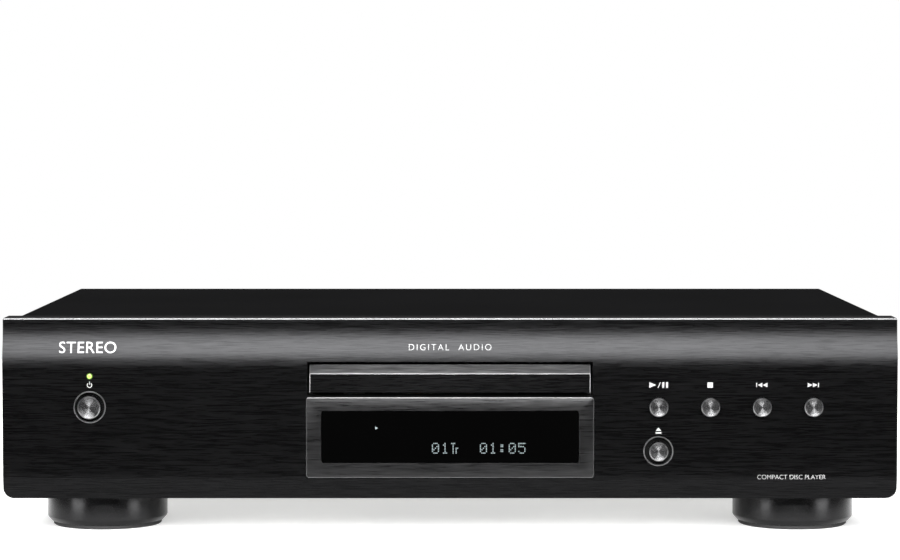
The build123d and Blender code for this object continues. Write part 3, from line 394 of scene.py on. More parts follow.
def painted(name, colour, rough, grain_size=0.5 * MM, depth=0.25, **more):
    """Sheet metal with a fine textured paint."""
    finish = Finish(name)
    where = finish.place()
    grain = finish.noise(where, 1 / grain_size, 2, 0.5)
    cloud = finish.noise(where, 9, 2, 0.5)
    pale = tuple(c * 1.3 for c in colour)
    return finish.done(base_color=finish.blend(grain * 0.7 + cloud * 0.3, colour, pale),
                       roughness=rough + (cloud - 0.5) * 0.08,
                       normal=finish.bump(grain, depth, 0.1 * MM), **more)


def moulded(name, colour, rough, grain_size=0.7 * MM, depth=0.12, **more):
    """Moulded plastic with a faint spark-eroded grain."""
    finish = Finish(name)
    where = finish.place()
    grain = finish.noise(where, 1 / grain_size, 3, 0.55)
    cloud = finish.noise(where, 30, 2, 0.5)
    deep = tuple(c * 0.85 for c in colour)
    return finish.done(base_color=finish.blend(cloud, deep, colour),
                       roughness=rough + (grain - 0.5) * 0.1,
                       normal=finish.bump(grain, depth, 0.08 * MM), **more)


def plated(name, colour, rough):
    """Plated or bare sheet steel with faint rolling marks and spangle."""
    finish = Finish(name)
    rolled = finish.noise(finish.place(ROLLING_MARKS), 1, 2, 0.6)
    spangle = finish.noise(finish.place(), 120, 2, 0.5)
    tone = rolled * 0.5 + spangle * 0.5
    deep = tuple(c * 0.8 for c in colour)
    return finish.done(base_color=finish.blend(tone, deep, colour), metallic=1.0,
                       roughness=rough + (tone - 0.5) * 0.14,
                       normal=finish.bump(tone, 0.08, 0.1 * MM))


def turned_metal(name, node, colour, rough, axis="Y", ring_pitch=LATHE_FEED, painted_sheen=0.0):
    """Metal turned on a lathe: fine rings about the piece's own axis, and a painted sheen on a face: sectors split by
    dark X lines, painted into the colour by angle about the axis.
    """
    finish = Finish(name)
    where = finish.place(centre=middle[node])
    radius = finish.reach(where, (1, 0, 1) if axis == "Y" else (1, 1, 0))
    jitter = finish.noise(where, 2600, 1, 0.5)
    rings = (radius * (2 * math.pi / ring_pitch) + jitter * 2.0).sine() * 0.5 + 0.5
    tone = rings * 0.4 + 0.6
    # painted sheen: the colour darkens into an X by angle about the axis, and one pair of opposite sectors is painted
    # lighter
    if painted_sheen:
        around = finish.node("ShaderNodeMath", {"operation": "ARCTAN2"},
                             {0: finish.along(where, "Z"), 1: finish.along(where, "X")})
        wave = (around * 2 - math.radians(100)).sine()
        depth = finish.node("ShaderNodeMath", {"operation": "ABSOLUTE"}, {0: wave}) ** 0.4
        tone = tone * (1 - painted_sheen + depth * painted_sheen)
        tone = tone * (wave * 0.16 + 0.84)
    deep = tuple(c * 0.05 for c in colour)
    return finish.done(base_color=finish.blend(tone, deep, colour), metallic=1.0,
                       roughness=rough + (jitter - 0.5) * 0.1,
                       normal=finish.bump(rings, 0.5, 0.03 * MM))


def printed(name, colour):
    """Screen-printed ink, slightly uneven."""
    finish = Finish(name)
    tone = finish.noise(finish.place(), 2500, 2, 0.5)
    deep = tuple(c * 0.86 for c in colour)
    return finish.done(base_color=finish.blend(tone, deep, colour), roughness=0.5)


def glowing(name, colour, strength):
    """Something lit from inside, a little uneven."""
    finish = Finish(name)
    tone = finish.noise(finish.place(), 1800, 2, 0.5)
    pale = tuple(c * 0.85 for c in colour)
    return finish.done(base_color=(0.02, 0.02, 0.02), roughness=0.4,
                       emission_color=finish.blend(tone, pale, colour), emission_strength=strength)


def gilded(name, outside):
    """Gold plating on the part of a socket that stands outside, and black plastic inside the case."""
    finish = Finish(name)
    where = finish.place()
    shown = finish.along(where, "Y").above(outside)
    specks = finish.noise(where, 1200, 2, 0.5)
    return finish.done(base_color=finish.blend(shown, (0.02, 0.02, 0.02), (0.95, 0.68, 0.26)),
                       metallic=shown, roughness=0.2 + specks * 0.08 + (1 - shown) * 0.2,
                       normal=finish.bump(specks, 0.05))


def lamp_glow(name, centre, radius):
    """Lamp lens: green in the middle, then yellow, with a dark rim."""
    finish = Finish(name)
    where = finish.place(centre=centre)
    colour = finish.ramp(finish.reach(where, (1, 0, 1)) / radius, (0.0, (0.42, 0.85, 0.10)),
                         (0.45, (0.62, 0.95, 0.16)), (0.6, (0.92, 1.0, 0.35)), (0.74, (0.03, 0.05, 0.01)))
    return finish.done(base_color=(0.1, 0.2, 0.02), roughness=0.2, emission_color=colour, emission_strength=1.1)


def fibreboard(name, colour, copper):
    """Printed circuit board with faint tracks under its solder mask."""
    finish = Finish(name)
    cells = finish.node("ShaderNodeTexVoronoi", {"feature": "DISTANCE_TO_EDGE", "distance": "MANHATTAN"},
                        {"Vector": finish.place(), "Scale": 170.0})
    tracks = cells.above(0.06)
    weave = finish.noise(finish.place(), 900, 2, 0.5)
    return finish.done(base_color=finish.blend(tracks, copper, colour), roughness=0.35 + (weave - 0.5) * 0.1,
                       normal=finish.bump(tracks, 0.1, 0.05 * MM))


def laminated(name, colour):
    """Stack of varnished core plates, seen on edge across the depth."""
    finish = Finish(name)
    depth = finish.along(finish.place(), "Y")
    lines = (depth * (2 * math.pi / CORE_PLATE)).sine() * 0.5 + 0.5
    blotch = finish.noise(finish.place(), 90, 3, 0.6)
    deep = tuple(c * 0.5 for c in colour)
    return finish.done(base_color=finish.blend(lines * 0.6 + blotch * 0.4, deep, colour), metallic=0.6,
                       roughness=0.45 + (blotch - 0.5) * 0.2, normal=finish.bump(lines, 0.3, 0.1 * MM))


def taped(name, colour):
    """Winding under turns of tape."""
    finish = Finish(name)
    height = finish.along(finish.place(), "Z")
    turns = (height * (2 * math.pi / TAPE_WIDTH)).sine() * 0.5 + 0.5
    creases = finish.noise(finish.place(TAPE_CREASES), 1, 3, 0.6)
    deep = tuple(c * 0.7 for c in colour)
    return finish.done(base_color=finish.blend(turns ** 6 * 0.6 + creases * 0.4, colour, deep),
                       roughness=0.3 + creases * 0.15, normal=finish.bump(turns + creases, 0.2, 0.2 * MM))


panel_finish = brushed("panel_brushed_black", (0.0092, 0.0092, 0.0095), 0.28, grain=0.02, spread=0.34)
bezel_finish = brushed("bezel_brushed_grey", (0.03, 0.03, 0.0305), 0.3, grain=0.03, spread=0.34)
door_finish = brushed("door_brushed_grey", (0.014, 0.014, 0.0144), 0.28, grain=0.02, spread=0.28)
# painted highlight: a brighter copy of the door's brushed metal for its bevel
door_bevel_highlight = brushed("door_bevel_painted_highlight", (0.33, 0.33, 0.334), 0.34, grain=0.04, spread=0.35)
# painted highlight: a brighter copy of the panel's brushed metal for its upper edge
panel_edge_highlight = brushed("panel_edge_painted_highlight", (0.16, 0.16, 0.162), 0.35, grain=0.01, spread=0.1)
# painted highlight: a brighter copy of the caps' turned metal for their chamfers
cap_chamfer_highlight = brushed("button_chamfer_painted_highlight", (0.36, 0.36, 0.364), 0.3, grain=0.01, spread=0.2)
# painted highlight: a still brighter copy of the door's metal for lines along the bevel and at the door's ends
door_highlight_lines = brushed("door_line_painted_highlight", (0.6, 0.6, 0.605), 0.4, grain=0.01, spread=0.1)
# painted highlight: a brighter copy of the bezel's brushed metal for its edge faces
bezel_edge_highlight = brushed("bezel_edge_highlight", (0.14, 0.14, 0.142), 0.35, grain=0.05, spread=0.2)
cover_finish = painted("cover_black_paint", (0.02, 0.02, 0.0205), 0.5, 0.45 * MM, 0.3, metallic=1.0,
                       specular_tint=(0.04, 0.04, 0.04))
rear_finish = painted("rear_black_paint", (0.018, 0.018, 0.0185), 0.5, 0.6 * MM, 0.2, specular_ior_level=0.3)
zinc_finish = plated("zinc_sheet", (0.56, 0.56, 0.54), 0.36)
steel_finish = plated("motor_can", (0.5, 0.5, 0.5), 0.3)
polished_finish = plated("polished_rod", (0.8, 0.8, 0.8), 0.12)
ring_finish = brushed("bright_ring", (0.15, 0.15, 0.152), 0.35, grain=0.03, spread=0.2)
black_plastic = moulded("black_plastic", (0.022, 0.022, 0.022), 0.5)
tray_plastic = moulded("tray_plastic", (0.026, 0.026, 0.027), 0.45)
gear_plastic = moulded("ivory_gear_plastic", (0.74, 0.72, 0.66), 0.38, subsurface_weight=0.1)
window_finish = moulded("smoked_window", (0.0006, 0.0006, 0.0006), 0.12, 8 * MM, 0.01, specular_ior_level=0.0)
glass_finish = moulded("display_glass", (0.004, 0.005, 0.006), 0.12, 8 * MM, 0.01)
# painted shade: near-black for the parts of the caps that stand behind the panel's face
cap_painted_shade = moulded("cap_painted_shade", (0.0015, 0.0015, 0.0015), 0.7, specular_ior_level=0.1)
rubber_finish = moulded("pad_rubber", (0.01, 0.01, 0.01), 0.75, 0.4 * MM, 0.3)
green_board = fibreboard("green_board", (0.012, 0.075, 0.028), (0.03, 0.13, 0.05))
core_finish = laminated("core_plates", (0.16, 0.155, 0.15))
tape_finish = taped("yellow_tape", (0.7, 0.5, 0.07))
screw_finish = plated("black_screw", (0.06, 0.06, 0.062), 0.35)
sink_finish = brushed("heat_sink_black", (0.03, 0.03, 0.031), 0.4, grain=0.2, spread=0.3)
gold_finish = gilded("gold_and_plastic", high["rear_panel"].y)
brass_finish = plated("brass_post", (0.72, 0.56, 0.28), 0.3)
lens_finish = moulded("lens_glass", (0.12, 0.2, 0.34), 0.05, 5 * MM, 0.01, transmission_weight=0.5, ior=1.5)
sleeve_finish = moulded("capacitor_sleeve", (0.012, 0.014, 0.03), 0.3)
chip_finish = moulded("chip_epoxy", (0.018, 0.018, 0.018), 0.55, 0.3 * MM, 0.2)
white_ink = printed("white_ink", (0.32, 0.32, 0.32))
badge_finish = printed("badge_white", (0.46, 0.46, 0.46))
glyph_finish = glowing("display_glow", (0.62, 0.78, 0.82), 0.85)
lamp_finish = lamp_glow("lamp_glow", middle["power_lamp"], high["power_lamp"].x - middle["power_lamp"].x)


# ---- front panel ----
RING_LINE = 0.6 * MM
DOOR_GAP_SIDE = 1.2 * MM
DOOR_GAP_BELOW = 2.1 * MM
DOOR_GAP_ABOVE = 1.5 * MM
BEZEL_GAP = 0.3 * MM
BEZEL_HOLE_CORNER = 1.7 * MM
CAP_GAP = 0.3 * MM
LAMP_GAP = 0.03 * MM
RING_GAP = 0.02 * MM
PAST = 2.0 * MM             # how far a cutter runs past what it cuts
CORNER_OVERLAP = 20 * MM    # how far the two silhouettes of the panel overlap about its middle
POCKET_TOP = 4 * MM         # height of the deep pocket over the door
CAP_RADII = {"power_button": 5.575 * MM, "eject_button": 4.65 * MM}
CAP_RADIUS = 4.6 * MM
CAP_COLLAR = 1.5 * MM
CAP_STEM = 3.0 * MM
CAP_CHAMFER = 0.42 * MM
CAP_SHADED = 1.2 * MM       # depth behind the panel's face from which a cap is painted black as shade


def panel_section():
    """The panel's outer section: rolled chin, flat face, stepped brow and top."""
    x = panel_low.x
    straight = 0.5 * MM
    chin_z = panel_low.z + CHIN_DROP
    chin_angle = math.degrees(math.asin((CHIN_DROP + straight) / CHIN_RADIUS))
    brow_angle = math.degrees(math.asin(BROW_RISE / 2 / brow_radius))
    chin_z_low = chin_z - CHIN_DROP - straight
    chin_back = CHIN_RADIUS * (1 - math.cos(math.radians(chin_angle)))
    section = Outline((x, panel_high.y, chin_z_low))
    section.line((x, face_y + chin_back, chin_z_low))
    section.arc((x, face_y + CHIN_RADIUS, chin_z), X, -chin_angle, 14)
    section.line((x, face_y, chin_z + straight), (x, face_y, brow_z - straight), (x, face_y, brow_z))
    section.arc((x, face_y + brow_radius, brow_z), X, -brow_angle, 14)
    section.arc((x, face_y + BROW_RECESS - brow_radius, brow_z + BROW_RISE), X, brow_angle, 14)
    top_y = face_y + BROW_RECESS
    section.line((x, top_y, brow_z + BROW_RISE + straight), (x, top_y, panel_high.z - UPPER_CORNER))
    section.arc((x, top_y + UPPER_CORNER, panel_high.z - UPPER_CORNER), X, -90, 6)
    section.line((x, panel_high.y, panel_high.z))
    return section.filled((panel_high.x - panel_low.x, 0, 0))


def front_panel():
    """Brushed panel with its openings, rounded in the front view, with a painted highlight line along its upper edge.
    """
    front, back = face_y - PAST, panel_high.y + PAST
    centre_z = (panel_low.z + panel_high.z) / 2
    lower = plate((panel_low.x, front, panel_low.z), (panel_high.x, back, centre_z + CORNER_OVERLAP),
                  LOWER_CORNER, 0, 12)
    upper = plate((panel_low.x, front, centre_z - CORNER_OVERLAP), (panel_high.x, back, panel_high.z),
                  UPPER_CORNER, 0, 6)
    silhouette = carved(lower, upper, operation="UNION")
    shell = carved(panel_section(), silhouette, operation="INTERSECT")
    pocket_low, pocket_high = panel_low.x + PANEL_END_WALL, panel_high.x - PANEL_END_WALL
    pocket_top = high["tray_door"].z + POCKET_TOP
    bezel_low, bezel_high = low["display_bezel"], high["display_bezel"]
    slot_low, slot_high = slot_corners()
    cutters = [
        block((pocket_low, face_y + PANEL_WALL, panel_low.z + PANEL_FLOOR_WALL), (pocket_high, back, pocket_top)),
        block((pocket_low, face_y + BROW_RECESS + PANEL_WALL, pocket_top - 0.01 * MM),
              (pocket_high, back, panel_high.z - PANEL_TOP_WALL)),
        block((slot_low.x, front, slot_low.z), (slot_high.x, back, slot_high.z)),
        plate((bezel_low.x - BEZEL_GAP, front, bezel_low.z - BEZEL_GAP),
              (bezel_high.x + BEZEL_GAP, back, bezel_high.z + BEZEL_GAP / 100), BEZEL_HOLE_CORNER),
    ]
    for name in TRANSPORT:
        cutters.append(rod(middle[name], cap_radius(name) + CAP_GAP, front, back))
    for name in ("power_ring", "eject_ring"):
        outer = (high[name].x - low[name].x) / 2
        cutters.append(rod(middle[name], outer - RING_LINE, front, back))
        cutters.append(rod(middle[name], outer + RING_GAP, front, high[name].y))
    lamp_radius = (high["power_lamp"].x - low["power_lamp"].x) / 2
    cutters.append(rod(middle["power_lamp"], lamp_radius + LAMP_GAP, front, back))
    panel = add("front_panel_shell", carved(shell, *cutters), panel_finish, "chassis", "panel_black", "front_panel",
                angle=math.radians(20))
    # painted highlight: the upper edge's rounded faces get a brighter copy of the panel's metal
    edge_z = panel_high.z - 0.75 * UPPER_CORNER
    refinish(panel, (panel_edge_highlight, lambda face: face.center.z > edge_z and face.normal.y < 0
                     and 0.3 < face.normal.z < 0.9))


def slot_corners():
    """Lowest and highest corners of the tray's opening."""
    door_low, door_high = low["tray_door"], high["tray_door"]
    return (Vector((door_low.x - DOOR_GAP_SIDE, door_low.y, door_low.z - DOOR_GAP_BELOW)),
            Vector((door_high.x + DOOR_GAP_SIDE, door_high.y, door_high.z + DOOR_GAP_ABOVE)))


def cap_radius(name):
    """Radius of a button's cap."""
    return CAP_RADII.get(name, CAP_RADIUS)


def button_cap(name):
    """Turned cap with a chamfer in painted highlight, a nearly flat face, a collar and a stem; behind the panel's
    face it is painted black as shade.
    """
    radius = cap_radius(name)
    front, back = low[name].y, high[name].y
    collar = (high[name].x - low[name].x) / 2
    collar_y = face_y + PANEL_WALL + 0.3 * MM
    profile = ((0, front + 0.05 * MM), (radius * 0.5, front + 0.04 * MM), (radius - 0.62 * MM, front + 0.03 * MM),
               (radius - 0.5 * MM, front), (radius - 0.06 * MM, front + CAP_CHAMFER),
               (radius, front + 0.55 * MM), (radius, collar_y), (collar, collar_y),
               (collar, collar_y + CAP_COLLAR), (CAP_STEM, collar_y + CAP_COLLAR), (CAP_STEM, back), (0, back))
    finish = turned_metal("turned_" + name, name, (0.14, 0.14, 0.142), 0.26, painted_sheen=0.97)
    cap = add(name + "_cap", lathed(middle[name], Y, profile, 128), finish, name, "button_metal", name)
    # painted shade: the cap is made black behind the panel's face; painted highlight: its chamfer gets a brighter
    # copy of its metal
    refinish(cap, (cap_painted_shade, lambda face: face.center.y > face_y + CAP_SHADED),
             (cap_chamfer_highlight, lambda face: -0.95 < face.normal.y < -0.3))


def trim_ring(name):
    """Thin ring let into the panel round a button."""
    outer = (high[name].x - low[name].x) / 2
    inner = outer - RING_LINE
    soft = 0.12 * MM
    front, back = low[name].y, high[name].y
    profile = ((inner, back), (inner, front + soft), (inner + soft, front), (outer - soft, front),
               (outer, front + soft), (outer, back), (inner, back))
    add(name + "_trim", lathed(middle[name], Y, profile, 128), ring_finish, "chassis", "bright_metal", name)


def power_lamp():
    """Domed lens of the power lamp."""
    lamp_low, lamp_high = low["power_lamp"], high["power_lamp"]
    radius = (lamp_high.x - lamp_low.x) / 2
    dome, steps = 0.45 * MM, 6
    angles = [math.pi / 2 * step / steps for step in range(steps + 1)]
    profile = [(radius * math.sin(angle), lamp_low.y + dome * (1 - math.cos(angle))) for angle in angles]
    profile += [(radius, lamp_high.y), (0, lamp_high.y)]
    lens = lathed(middle["power_lamp"], Y, profile, 48)
    add("power_lamp_lens", lens, lamp_finish, "chassis", "lamp_green", "power_lamp")


# ---- display and door ----
WINDOW_CORNER = 1.1 * MM


def display_bezel():
    """Brushed frame with softened edges round the window; its edge faces carry a painted highlight, a brighter copy
    of the frame's metal.
    """
    corner, far = low["display_bezel"], high["display_bezel"]
    window_low, window_high = low["display_window"], high["display_window"]
    gap = 0.1 * MM
    hole = plate((window_low.x - gap, corner.y - MM, window_low.z - gap),
                 (window_high.x + gap, far.y + MM, window_high.z + gap), WINDOW_CORNER)
    body = carved(plate(corner, far, 1.4 * MM, 0.35 * MM), hole)
    bezel = add("display_bezel_frame", body, bezel_finish, "chassis", "bezel_grey", "display_bezel")
    # painted highlight: faces that do not face the front get a brighter copy of the frame's metal
    refinish(bezel, (bezel_edge_highlight, lambda face: -0.98 < face.normal.y < -0.1))


def display_window():
    """Smoked window with softened edges."""
    body = plate(low["display_window"], high["display_window"], WINDOW_CORNER, 0.3 * MM)
    add("display_window_pane", body, window_finish, "chassis", "smoked_window", "display_window")


GLYPHS = {
    "0": (" ### ", "#   #", "#  ##", "# # #", "##  #", "#   #", " ### "),
    "1": ("  #  ", " ##  ", "  #  ", "  #  ", "  #  ", "  #  ", " ### "),
    "5": ("#####", "#    ", "#### ", "    #", "    #", "#   #", " ### "),
    "T": ("###  ", " #   ", " #   ", " # ##", " # # ", " # # ", " # # "),
    ":": ("     ", " ##  ", " ##  ", "     ", " ##  ", " ##  ", "     "),
}
DOT_PITCH = Vector((0.73, 0, 0.78)) * MM
DOT_FILL = 0.6              # part of the pitch that a dot fills
DOT_ROWS = 7
DOT_OUT, DOT_IN = 0.03 * MM, 0.02 * MM
GLYPH_PITCH = 4.66 * MM
TRACK_LEFT = 53.7 * MM      # places from the window's lower left corner
TIME_LEFT = 77.0 * MM
GLYPH_BASE = 4.5 * MM
MARK_LEFT = 26.2 * MM
MARK_OVER_BASE = 12.4 * MM
MARK_LENGTH, MARK_HALF = 1.3 * MM, 0.75 * MM


def glyph_dots(text, left, base):
    """One small raised cell for each lit dot of a line of text."""
    front = low["display_window"].y
    shapes = []
    for place, letter in enumerate(text):
        for row, line in enumerate(GLYPHS.get(letter, ())):
            for column, dot in enumerate(line):
                if dot == "#":
                    x = left + place * GLYPH_PITCH + column * DOT_PITCH.x
                    z = base + (DOT_ROWS - 1 - row) * DOT_PITCH.z
                    shapes.append(block((x, front - DOT_OUT, z), (x + DOT_PITCH.x * DOT_FILL, front + DOT_IN,
                                                                  z + DOT_PITCH.z * DOT_FILL)))
    return shapes


def display_glyphs():
    """Track number, running time and the play mark."""
    left = low["display_window"].x
    base = low["display_window"].z + GLYPH_BASE
    y = low["display_window"].y - DOT_OUT
    mark_x, mark_z = left + MARK_LEFT, base + MARK_OVER_BASE
    mark = Outline((mark_x, y, mark_z - MARK_HALF))
    mark.line((mark_x + MARK_LENGTH, y, mark_z), (mark_x, y, mark_z + MARK_HALF))
    shapes = [*glyph_dots("01T", left + TRACK_LEFT, base), *glyph_dots("01:05", left + TIME_LEFT, base),
              mark.filled((0, DOT_OUT + DOT_IN, 0))]
    add("display_glyphs", merged(*shapes), glyph_finish, "chassis", "display_glass")


def tray_door():
    """Door with a bevelled upper edge; the bevel, and lines along it and at both ends, carry painted highlights in
    brighter copies of the door's metal.
    """
    corner, far = low["tray_door"], high["tray_door"]
    bevel_low, bevel_high, bevel_back = 4.2 * MM, 0.35 * MM, 3.0 * MM
    soft, line_rise, line_back = 0.3 * MM, 0.25 * MM, 0.5 * MM
    x, y = corner.x, corner.y
    section = Outline((x, y + soft, corner.z))
    section.line((x, y, corner.z + soft),
                 (x, y, far.z - bevel_low - line_rise),
                 (x, y + 0.15 * MM, far.z - bevel_low),
                 (x, y + line_back, far.z - bevel_low + line_rise),
                 (x, y + bevel_back - 0.2 * MM, far.z - bevel_high),
                 (x, y + bevel_back + 0.2 * MM, far.z),
                 (x, far.y, far.z), (x, far.y, corner.z))
    body = section.filled((far.x - x, 0, 0))
    rounded(body, soft, 2, lambda e: sharp(60)(e) and abs(e.verts[0].co.x - e.verts[1].co.x) < LEVEL)
    door = add("tray_door_front", body, door_finish, "tray", "bezel_grey", "tray_door")

    def raised(face):
        return face.normal.y < -0.2 and face.normal.z > 0.2

    def bevel(face):
        return raised(face) and face.normal.z < 0.62 and face.area > 60 * MM * MM

    def end(face):
        return face.normal.y < -0.3 and abs(face.normal.x) > 0.3

    # painted highlights: the bevel and the lines along it and at the ends get brighter copies of the door's metal
    refinish(door, (door_bevel_highlight, bevel), (door_highlight_lines, lambda face: raised(face) or end(face)))


# ---- printed marks ----
INK_LIFT, BADGE_LIFT = 0.05 * MM, 0.12 * MM
MARK_ROWS = 12              # rows of faces that let a mark follow the panel's curve
SIGN_OVER_BUTTON = 10.7 * MM


def on_panel(bm, lift=INK_LIFT):
    """Bends a flat upright mark on to the panel's face and gives it thickness."""
    heights = [v.co.z for v in bm.verts]
    for row in range(1, MARK_ROWS):
        z = min(heights) + (max(heights) - min(heights)) * row / MARK_ROWS
        bmesh.ops.bisect_plane(bm, geom=bm.verts[:] + bm.edges[:] + bm.faces[:], dist=SAME_PLACE,
                               plane_co=(0, 0, z), plane_no=(0, 0, 1))
    for vert in bm.verts:
        vert.co.y = face_y + brow_depth(vert.co.z) - lift
    thicken(bm, (0, 2 * lift, 0))
    return bm


def lettering(text, size, x, z, bold, spacing, centred=False):
    """Upright flat lettering that starts or is centred at x, on a baseline at z."""
    curve = bpy.data.curves.new("lettering", "FONT")
    curve.body = text
    curve.size = size
    curve.offset = bold
    curve.space_character = spacing
    curve.align_x = "CENTER" if centred else "LEFT"
    writer = bpy.data.objects.new("lettering", curve)
    bpy.context.scene.collection.objects.link(writer)
    bpy.context.view_layer.update()
    mesh = bpy.data.meshes.new_from_object(writer.evaluated_get(bpy.context.evaluated_depsgraph_get()))
    bpy.data.objects.remove(writer)
    bm = bmesh.new()
    bm.from_mesh(mesh)
    bmesh.ops.remove_doubles(bm, verts=bm.verts, dist=SAME_PLACE)
    bmesh.ops.transform(bm, matrix=Matrix.Translation((x, 0, z)) @ Matrix.Rotation(math.pi / 2, 4, "X"),
                        verts=bm.verts)
    return bm


def flat(*points):
    """Upright filled shape through points given as x and z."""
    outline = Outline((points[0][0], 0, points[0][1]))
    outline.line(*[(x, 0, z) for x, z in points[1:]])
    bmesh.ops.contextual_create(outline.bm, geom=[outline.tip, outline.start])
    bmesh.ops.contextual_create(outline.bm, geom=outline.bm.edges[:])
    return outline.bm


def bar(x, z, width, height):
    """Upright filled rectangle about a centre."""
    w, h = width / 2, height / 2
    return flat((x - w, z - h), (x + w, z - h), (x + w, z + h), (x - w, z + h))


def arrow(x, z, width, height, direction=1):
    """Upright triangle that points along X."""
    tip = x + direction * width / 2
    back = x - direction * width / 2
    return flat((back, z - height / 2), (tip, z), (back, z + height / 2))


def symbols():
    """Printed signs over the buttons."""
    shapes = []
    tall, small = 2.8 * MM, 2.1 * MM
    z = middle[TRANSPORT[0]].z + SIGN_OVER_BUTTON
    x = middle["play_pause_button"].x
    shapes += [arrow(x - 2.8 * MM, z, 3.4 * MM, tall),
               flat((x - 0.5 * MM, z - tall / 2), (x - 0.1 * MM, z - tall / 2),
                    (x + 1.1 * MM, z + tall / 2), (x + 0.7 * MM, z + tall / 2)),
               bar(x + 2.25 * MM, z, 0.95 * MM, tall), bar(x + 4.05 * MM, z, 0.95 * MM, tall)]
    shapes.append(bar(middle["stop_button"].x, z, 2.7 * MM, 2.6 * MM))
    for name, way in (("previous_button", -1), ("next_button", 1)):
        x = middle[name].x
        shapes += [bar(x + way * 2.5 * MM, z, 0.45 * MM, small),
                   arrow(x + way * 0.9 * MM, z, 2.3 * MM, small, way),
                   arrow(x - way * 1.6 * MM, z, 2.3 * MM, small, way)]
    x, z = middle["eject_button"].x, middle["eject_button"].z + 10.0 * MM
    shapes += [flat((x - 1.4 * MM, z - 0.1 * MM), (x + 1.4 * MM, z - 0.1 * MM), (x, z + 1.5 * MM)),
               bar(x, z - 1.1 * MM, 2.8 * MM, 0.75 * MM)]
    add("button_symbols", on_panel(merged(*shapes)), white_ink, "chassis", "bright_metal")


def power_sign():
    """Broken ring with an upright stroke over the power button."""
    centre = Vector((middle["power_button"].x, 0, middle["power_button"].z + SIGN_OVER_BUTTON))
    radius, line, gap = 1.3 * MM, 0.4 * MM, 38
    edges = []
    for reach in (radius, radius - line):
        edge = Outline(centre + Matrix.Rotation(math.radians(gap), 4, "Y") @ Vector((0, 0, reach)))
        edge.arc(centre, Y, 360 - 2 * gap, 28)
        edges.append(edge.bm)
    ring = merged(*edges)
    bmesh.ops.bridge_loops(ring, edges=ring.edges[:])
    stroke = bar(centre.x, centre.z + 1.05 * MM, line, 1.5 * MM)
    add("power_sign", on_panel(merged(ring, stroke)), white_ink, "chassis", "bright_metal")


def wording():
    """Generic words on the panel."""
    badge = lettering("STEREO", 7.8 * MM, panel_low.x + 27.2 * MM, 90.0 * MM, 0, 1.06)
    add("stereo_badge", on_panel(badge, BADGE_LIFT), badge_finish, "chassis", "bright_metal")
    thin = -0.05 * MM
    words = merged(
        lettering("DIGITAL  AUDIO", 4.3 * MM, 0, 91.3 * MM, thin, 1.3, centred=True),
        lettering("COMPACT DISC PLAYER", 3.15 * MM, panel_high.x - 68.0 * MM, 28.6 * MM, thin, 0.97))
    add("panel_words", on_panel(words), white_ink, "chassis", "bright_metal")


# ---- case ----
SCREW_HEAD_RADIUS, SCREW_HEAD_DEPTH = 3.0 * MM, 2.0 * MM
SCREW_SHANK_RADIUS, SCREW_SHANK = 1.4 * MM, 4.0 * MM
RECESS_HALF_WIDTH = 0.35 * MM
FOOT_BORE, FOOT_WEB = 12 * MM, 6 * MM
FOOT_RECESS_IN, FOOT_RECESS_OUT = 20.8 * MM, 27.3 * MM


def top_cover():
    """Folded cover with rounded bends and a lip over the rear panel."""
    corner, far = low["top_cover"], high["top_cover"]
    sheet, bend = 1.0 * MM, 2.0 * MM
    lip = 12.0 * MM
    y = corner.y
    outer_left, outer_right = corner.x, far.x
    section = Outline((outer_left, y, corner.z))
    section.line((outer_left, y, far.z - bend))
    section.arc((outer_left + bend, y, far.z - bend), Y, 90, 10)
    section.line((outer_right - bend, y, far.z))
    section.arc((outer_right - bend, y, far.z - bend), Y, 90, 10)
    section.line((outer_right, y, corner.z), (outer_right - sheet, y, corner.z),
                 (outer_right - sheet, y, far.z - bend))
    section.arc((outer_right - bend, y, far.z - bend), Y, -90, 10)
    section.line((outer_left + bend, y, far.z - sheet))
    section.arc((outer_left + bend, y, far.z - bend), Y, -90, 10)
    section.line((outer_left + sheet, y, corner.z))
    shell = section.filled((0, far.y - corner.y, 0))
    flap = block((outer_left + sheet, far.y - sheet, far.z - lip), (outer_right - sheet, far.y, far.z - sheet))
    rounded(flap, 0.3 * MM, 2, lambda e: all(abs(v.co.z - (far.z - lip)) < LEVEL for v in e.verts))
    add("top_cover_shell", merged(shell, flap), cover_finish, "chassis", "black_steel", "top_cover")


def pan_head(centre, direction):
    """Pan-head screw with a cross recess; direction points out of the head, whose top is at centre."""
    radius, head = SCREW_HEAD_RADIUS, SCREW_HEAD_DEPTH
    profile = ((0, -head - SCREW_SHANK), (SCREW_SHANK_RADIUS, -head - SCREW_SHANK), (SCREW_SHANK_RADIUS, -head),
               (radius, -head), (radius, -0.65 * head), (0.78 * radius, -0.2 * head), (0.4 * radius, 0), (0, 0))
    arms = ((0.55 * radius, RECESS_HALF_WIDTH), (RECESS_HALF_WIDTH, 0.55 * radius))
    recess = [block((-wide, -deep, -1.0 * MM), (wide, deep, 0.5 * MM)) for wide, deep in arms]
    screw = carved(lathed((0, 0, 0), Z, profile, 32), *recess)
    turn = Z.rotation_difference(direction).to_matrix().to_4x4()
    bmesh.ops.transform(screw, matrix=Matrix.Translation(centre) @ turn, verts=screw.verts)
    return screw


def cover_screws():
    """Seven black screws that hold the cover."""
    cover_low, cover_high = low["top_cover"], high["top_cover"]
    side_z = low["chassis_base"].z + 7.2 * MM
    heads = []
    for y in (cover_low.y + 40 * MM, cover_high.y - 45 * MM):
        heads.append(pan_head((cover_low.x - 2 * MM, y, side_z), -X))
        heads.append(pan_head((cover_high.x + 2 * MM, y, side_z), X))
    lip_z = cover_high.z - 6 * MM
    for x in (low["chassis_base"].x + 12 * MM, 0, high["chassis_base"].x - 12 * MM):
        heads.append(pan_head((x, cover_high.y + 2 * MM, lip_z), Y))
    add("cover_screw_heads", merged(*heads), screw_finish, "chassis", "screw_steel", "cover_screws")


